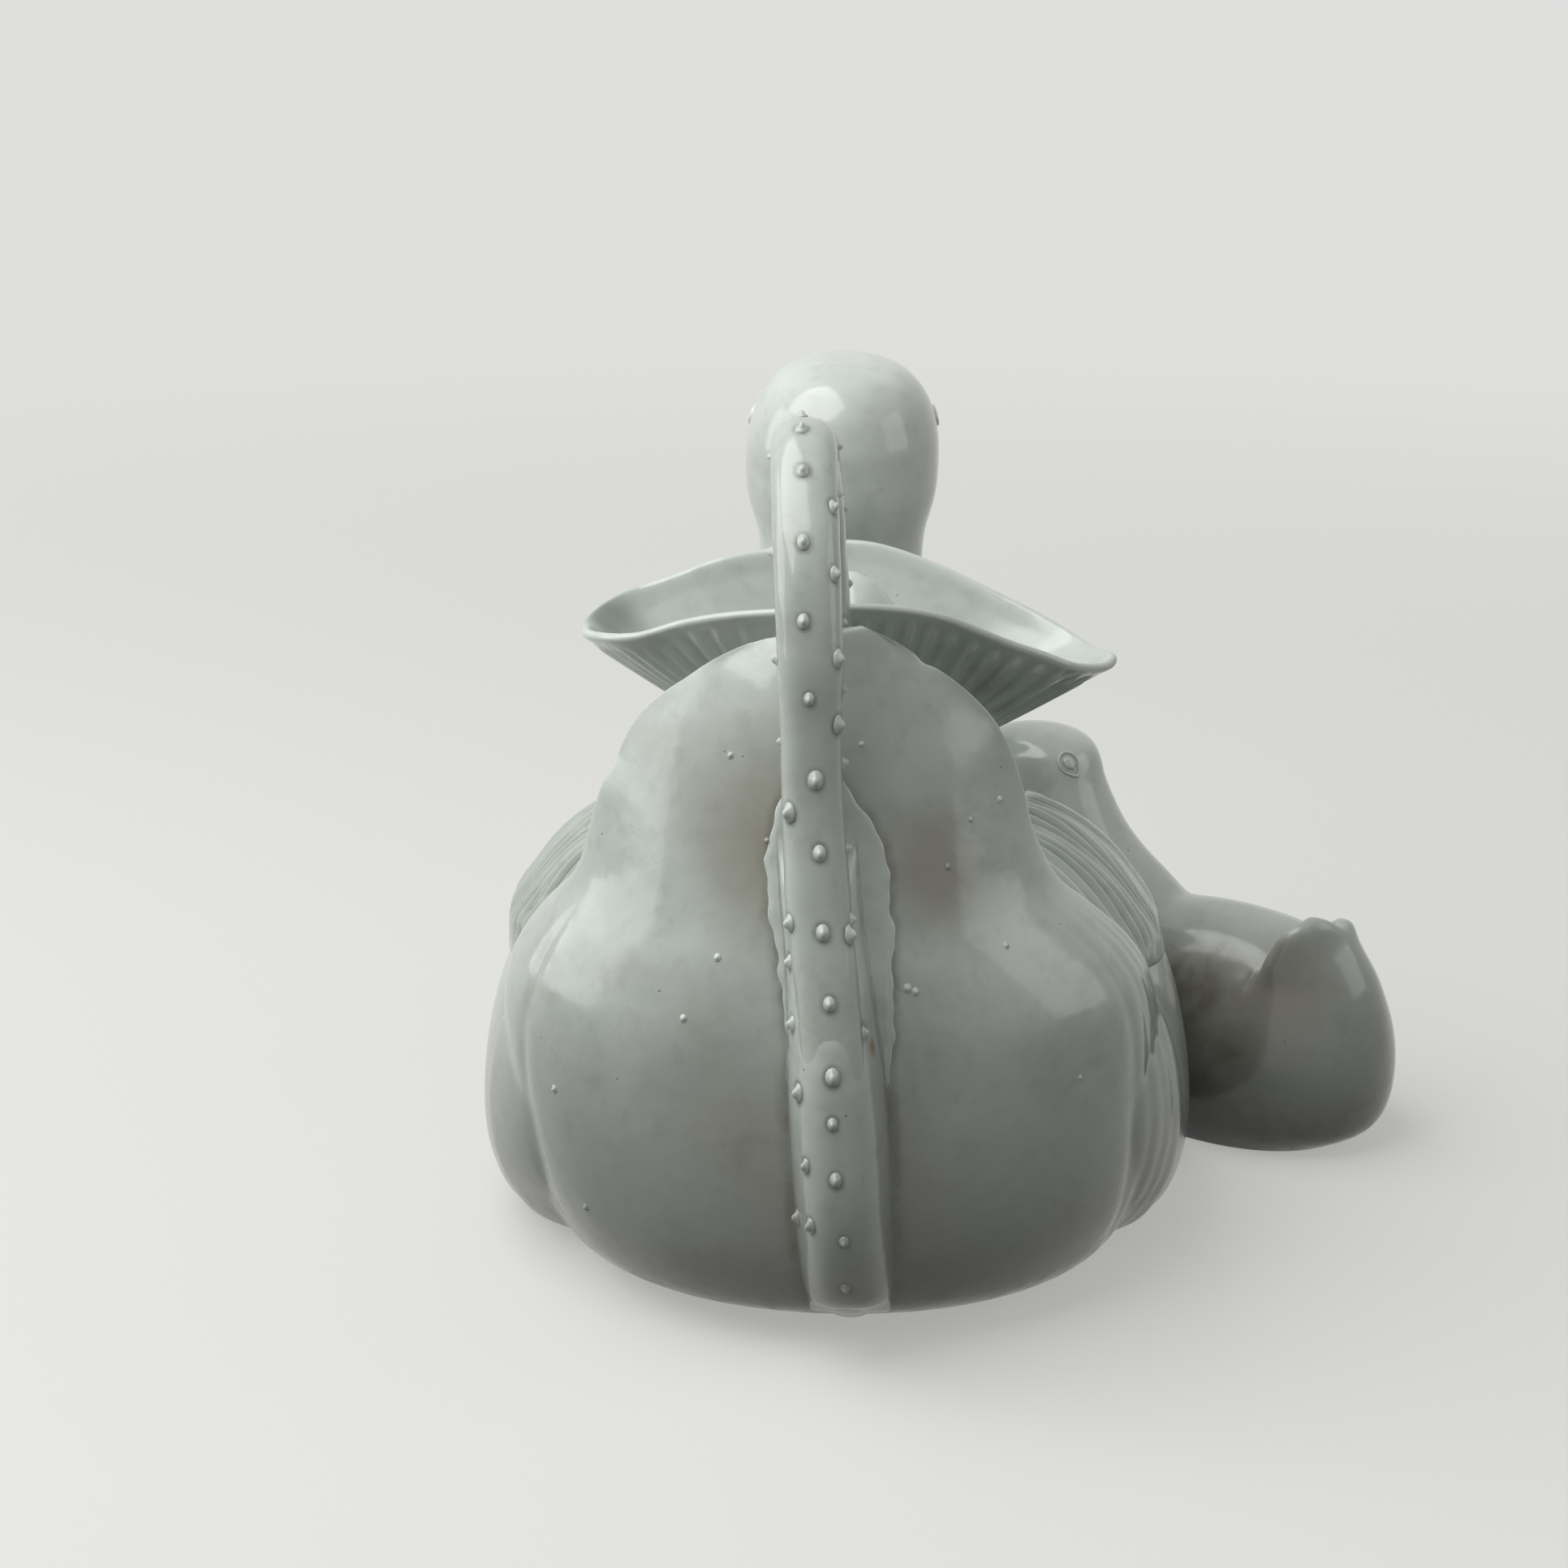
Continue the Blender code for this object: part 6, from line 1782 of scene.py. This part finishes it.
    def bill(self, seat, material):
        """Solid bill, turned with the head"""
        root, front = bill_root(Vector((0.0, 0.0, 0.0)), SMALL_HEAD_SIZES)
        shares = np.linspace(0.25, 1.0, 30)
        for name, upward in (("upper", 1), ("lower", -1)):
            rings = bill_arc(root, front, SMALL_BILL_SIZES, shares, upward, 0.0, 25)
            rings = turned(rings, SMALL_HEAD_TURN) + np.array(seat)
            half = into_place(loft("small_bill_" + name, rings))
            dress(half, material, "ewer", ["duckling_bill_" + name])


def floor_form():
    """Everything below the floor, for trimming what reaches down to it."""
    corners = np.array([(-1, -1), (1, -1), (1, 1), (-1, 1)], float) * 0.5
    rings = [np.column_stack([corners, np.full(4, height)]) for height in (-0.05, FLOOR_CLEARANCE)]
    return loft("floor_form", rings)


class EWER_OT_glaze(bpy.types.Operator):
    """Marks hollows, ridges and joints, where the glaze pools, thins and holds dirt, and where
    painted shade darkens grooves and joints
    """

    bl_idname = "ewer.glaze"
    bl_label = "Glaze"

    sharpness = {
        "lotus_leaf": 0.0016, "lotus_stem": 0.0010, "stem_prickles": 0.0008, "stem_bed": 0.0020,
        "rump_and_fan": 0.0040, "feathers_left": 0.0016, "feathers_right": 0.0016,
    }
    # Pairs of pieces, and how far from their joint the glaze darkens: partly dirt and pooled glaze,
    # partly painted shade
    neighbours = (
        ("rump_and_fan", "stem_bed", 0.003), ("body_glazed", "rump_and_fan", 0.003),
        ("body_glazed", "feathers_left", 0.003), ("body_glazed", "feathers_right", 0.003),
        ("feathers_left", "rump_and_fan", 0.003), ("feathers_right", "rump_and_fan", 0.003),
        ("body_glazed", "small_bird", 0.010), ("small_bird", "body_glazed", 0.008),
        ("lotus_leaf", "lotus_stem", 0.004), ("lotus_leaf", "bud", 0.003),
        ("lotus_stem", "stem_prickles", 0.0016), ("stem_bed", "stem_prickles", 0.0016),
    )

    def execute(self, context):
        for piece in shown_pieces():
            if "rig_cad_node" not in piece:
                mark_curves(piece, self.sharpness.get(piece.name, 0.0025))
        for name, other, reach in self.neighbours:
            piece = bpy.data.objects[name]
            material = piece.data.materials[0]
            run_tree(piece, tree_for(joint_tree), neighbour=bpy.data.objects[other], reach=reach,
                     material=material)
        return {"FINISHED"}


class EWER_OT_stage(bpy.types.Operator):
    """Plain floor, soft light and the camera at the photograph's view"""

    bl_idname = "ewer.stage"
    bl_label = "Stage"

    def execute(self, context):
        studio = context.scene.ewer_studio
        self.floor(studio)
        self.sky(context, studio)
        for name, (place, size, colour) in LAMPS.items():
            self.lamp(name, place, size, getattr(studio, name), colour)
        self.camera(context)
        context.scene.view_settings.view_transform = "Standard"
        return {"FINISHED"}

    def floor(self, studio):
        """Pale floor that keeps the shadow near the ewer and is evenly pale farther out"""
        mesh = bpy.data.meshes.new("floor")
        corners = [(x * FLOOR_REACH, y * FLOOR_REACH, 0)
                   for x, y in ((-1, -1), (1, -1), (1, 1), (-1, 1))]
        mesh.from_pydata(corners, [], [(0, 1, 2, 3)])
        floor = add_object("floor", mesh)
        floor.location.z = -0.0004
        floor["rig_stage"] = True
        material, nodes, shader, coords = new_finish("floor")
        mesh.materials.append(material)
        shader.inputs["Base Color"].default_value = (*studio.floor, 1.0)
        shader.inputs["Roughness"].default_value = 0.85
        away = nodes.add("ShaderNodeVectorMath", {0: coords}, operation="LENGTH").outputs["Value"]
        pale = nodes.add("ShaderNodeEmission", {"Color": (*studio.floor, 1.0), "Strength": 0.88})
        far = nodes.ramp(away, 0.25, 1.3, 0.50, 1.0)
        shown = nodes.add("ShaderNodeMixShader", {0: far, 1: shader, 2: pale})
        bounce = nodes.add("ShaderNodeBsdfDiffuse", {"Color": (*studio.floor_bounce, 1.0)})
        seen = self.seen_ray(nodes)
        finish = nodes.add("ShaderNodeMixShader", {0: seen, 1: bounce, 2: shown})
        nodes.feed(material.node_tree.nodes["Material Output"].inputs["Surface"], finish)

    def seen_ray(self, nodes):
        """1 for the rays that show the background, straight or in a reflection"""
        path = nodes.add("ShaderNodeLightPath").outputs
        mirrored = nodes.most(path["Is Glossy Ray"], path["Is Transmission Ray"])
        return nodes.most(path["Is Camera Ray"], mirrored)

    def sky(self, context, studio):
        """Even light all round, which is paler where it is seen"""
        world = bpy.data.worlds.new("room")
        world.use_nodes = True
        nodes = Nodes(world.node_tree)
        background = world.node_tree.nodes["Background"]
        paler = SKY_SEEN - studio.sky
        strength = nodes.math("MULTIPLY_ADD", self.seen_ray(nodes), paler, studio.sky)
        background.inputs["Color"].default_value = (0.99, 1.0, 0.99, 1.0)
        nodes.feed(background.inputs["Strength"], strength)
        context.scene.world = world

    def lamp(self, name, place, size, watts, colour):
        light = bpy.data.lights.new(name, "AREA")
        light.shape = "RECTANGLE"
        light.size, light.size_y = size
        light.energy = watts
        light.color = colour
        lamp = add_object(name, light)
        lamp.location = place
        lamp.rotation_euler = facing(place, LAMP_AIM).to_euler()
        lamp.visible_camera = False

    def camera(self, context):
        lens = bpy.data.cameras.new("camera")
        lens.lens = LENS
        lens.sensor_width = SENSOR
        camera = add_object("camera", lens)
        camera.location = CAMERA_PLACE
        camera.rotation_euler = facing(CAMERA_PLACE, CAMERA_AIM).to_euler()
        context.scene.camera = camera


OPERATORS = (EWER_OT_body, EWER_OT_rump, EWER_OT_wings, EWER_OT_neck_and_head, EWER_OT_leaf,
             EWER_OT_handle, EWER_OT_small_bird, EWER_OT_glaze, EWER_OT_stage)


class EWER_PT_panel(bpy.types.Panel):
    """Lists the ewer's sizes, colours and pieces"""

    bl_idname = "EWER_PT_panel"
    bl_label = "Ewer"
    bl_space_type = "VIEW_3D"
    bl_region_type = "UI"
    bl_category = "Ewer"

    def draw(self, context):
        for group in (context.scene.ewer_clay, context.scene.ewer_glaze, context.scene.ewer_studio):
            box = self.layout.box()
            for key in group.bl_rna.properties.keys():
                if key not in {"rna_type", "name"}:
                    box.prop(group, key)
        for operator in OPERATORS:
            self.layout.operator(operator.bl_idname)


CLASSES = (EwerClay, EwerGlaze, EwerStudio, *OPERATORS, EWER_PT_panel)


def register():
    for kind in CLASSES:
        bpy.utils.register_class(kind)
    bpy.types.Scene.ewer_clay = bpy.props.PointerProperty(type=EwerClay)
    bpy.types.Scene.ewer_glaze = bpy.props.PointerProperty(type=EwerGlaze)
    bpy.types.Scene.ewer_studio = bpy.props.PointerProperty(type=EwerStudio)


def unregister():
    del bpy.types.Scene.ewer_clay
    del bpy.types.Scene.ewer_glaze
    del bpy.types.Scene.ewer_studio
    for kind in reversed(CLASSES):
        bpy.utils.unregister_class(kind)


def main():
    register()
    for operator in OPERATORS:
        group, name = operator.bl_idname.split(".")
        getattr(getattr(bpy.ops, group), name)()


if __name__ == "__main__":
    main()
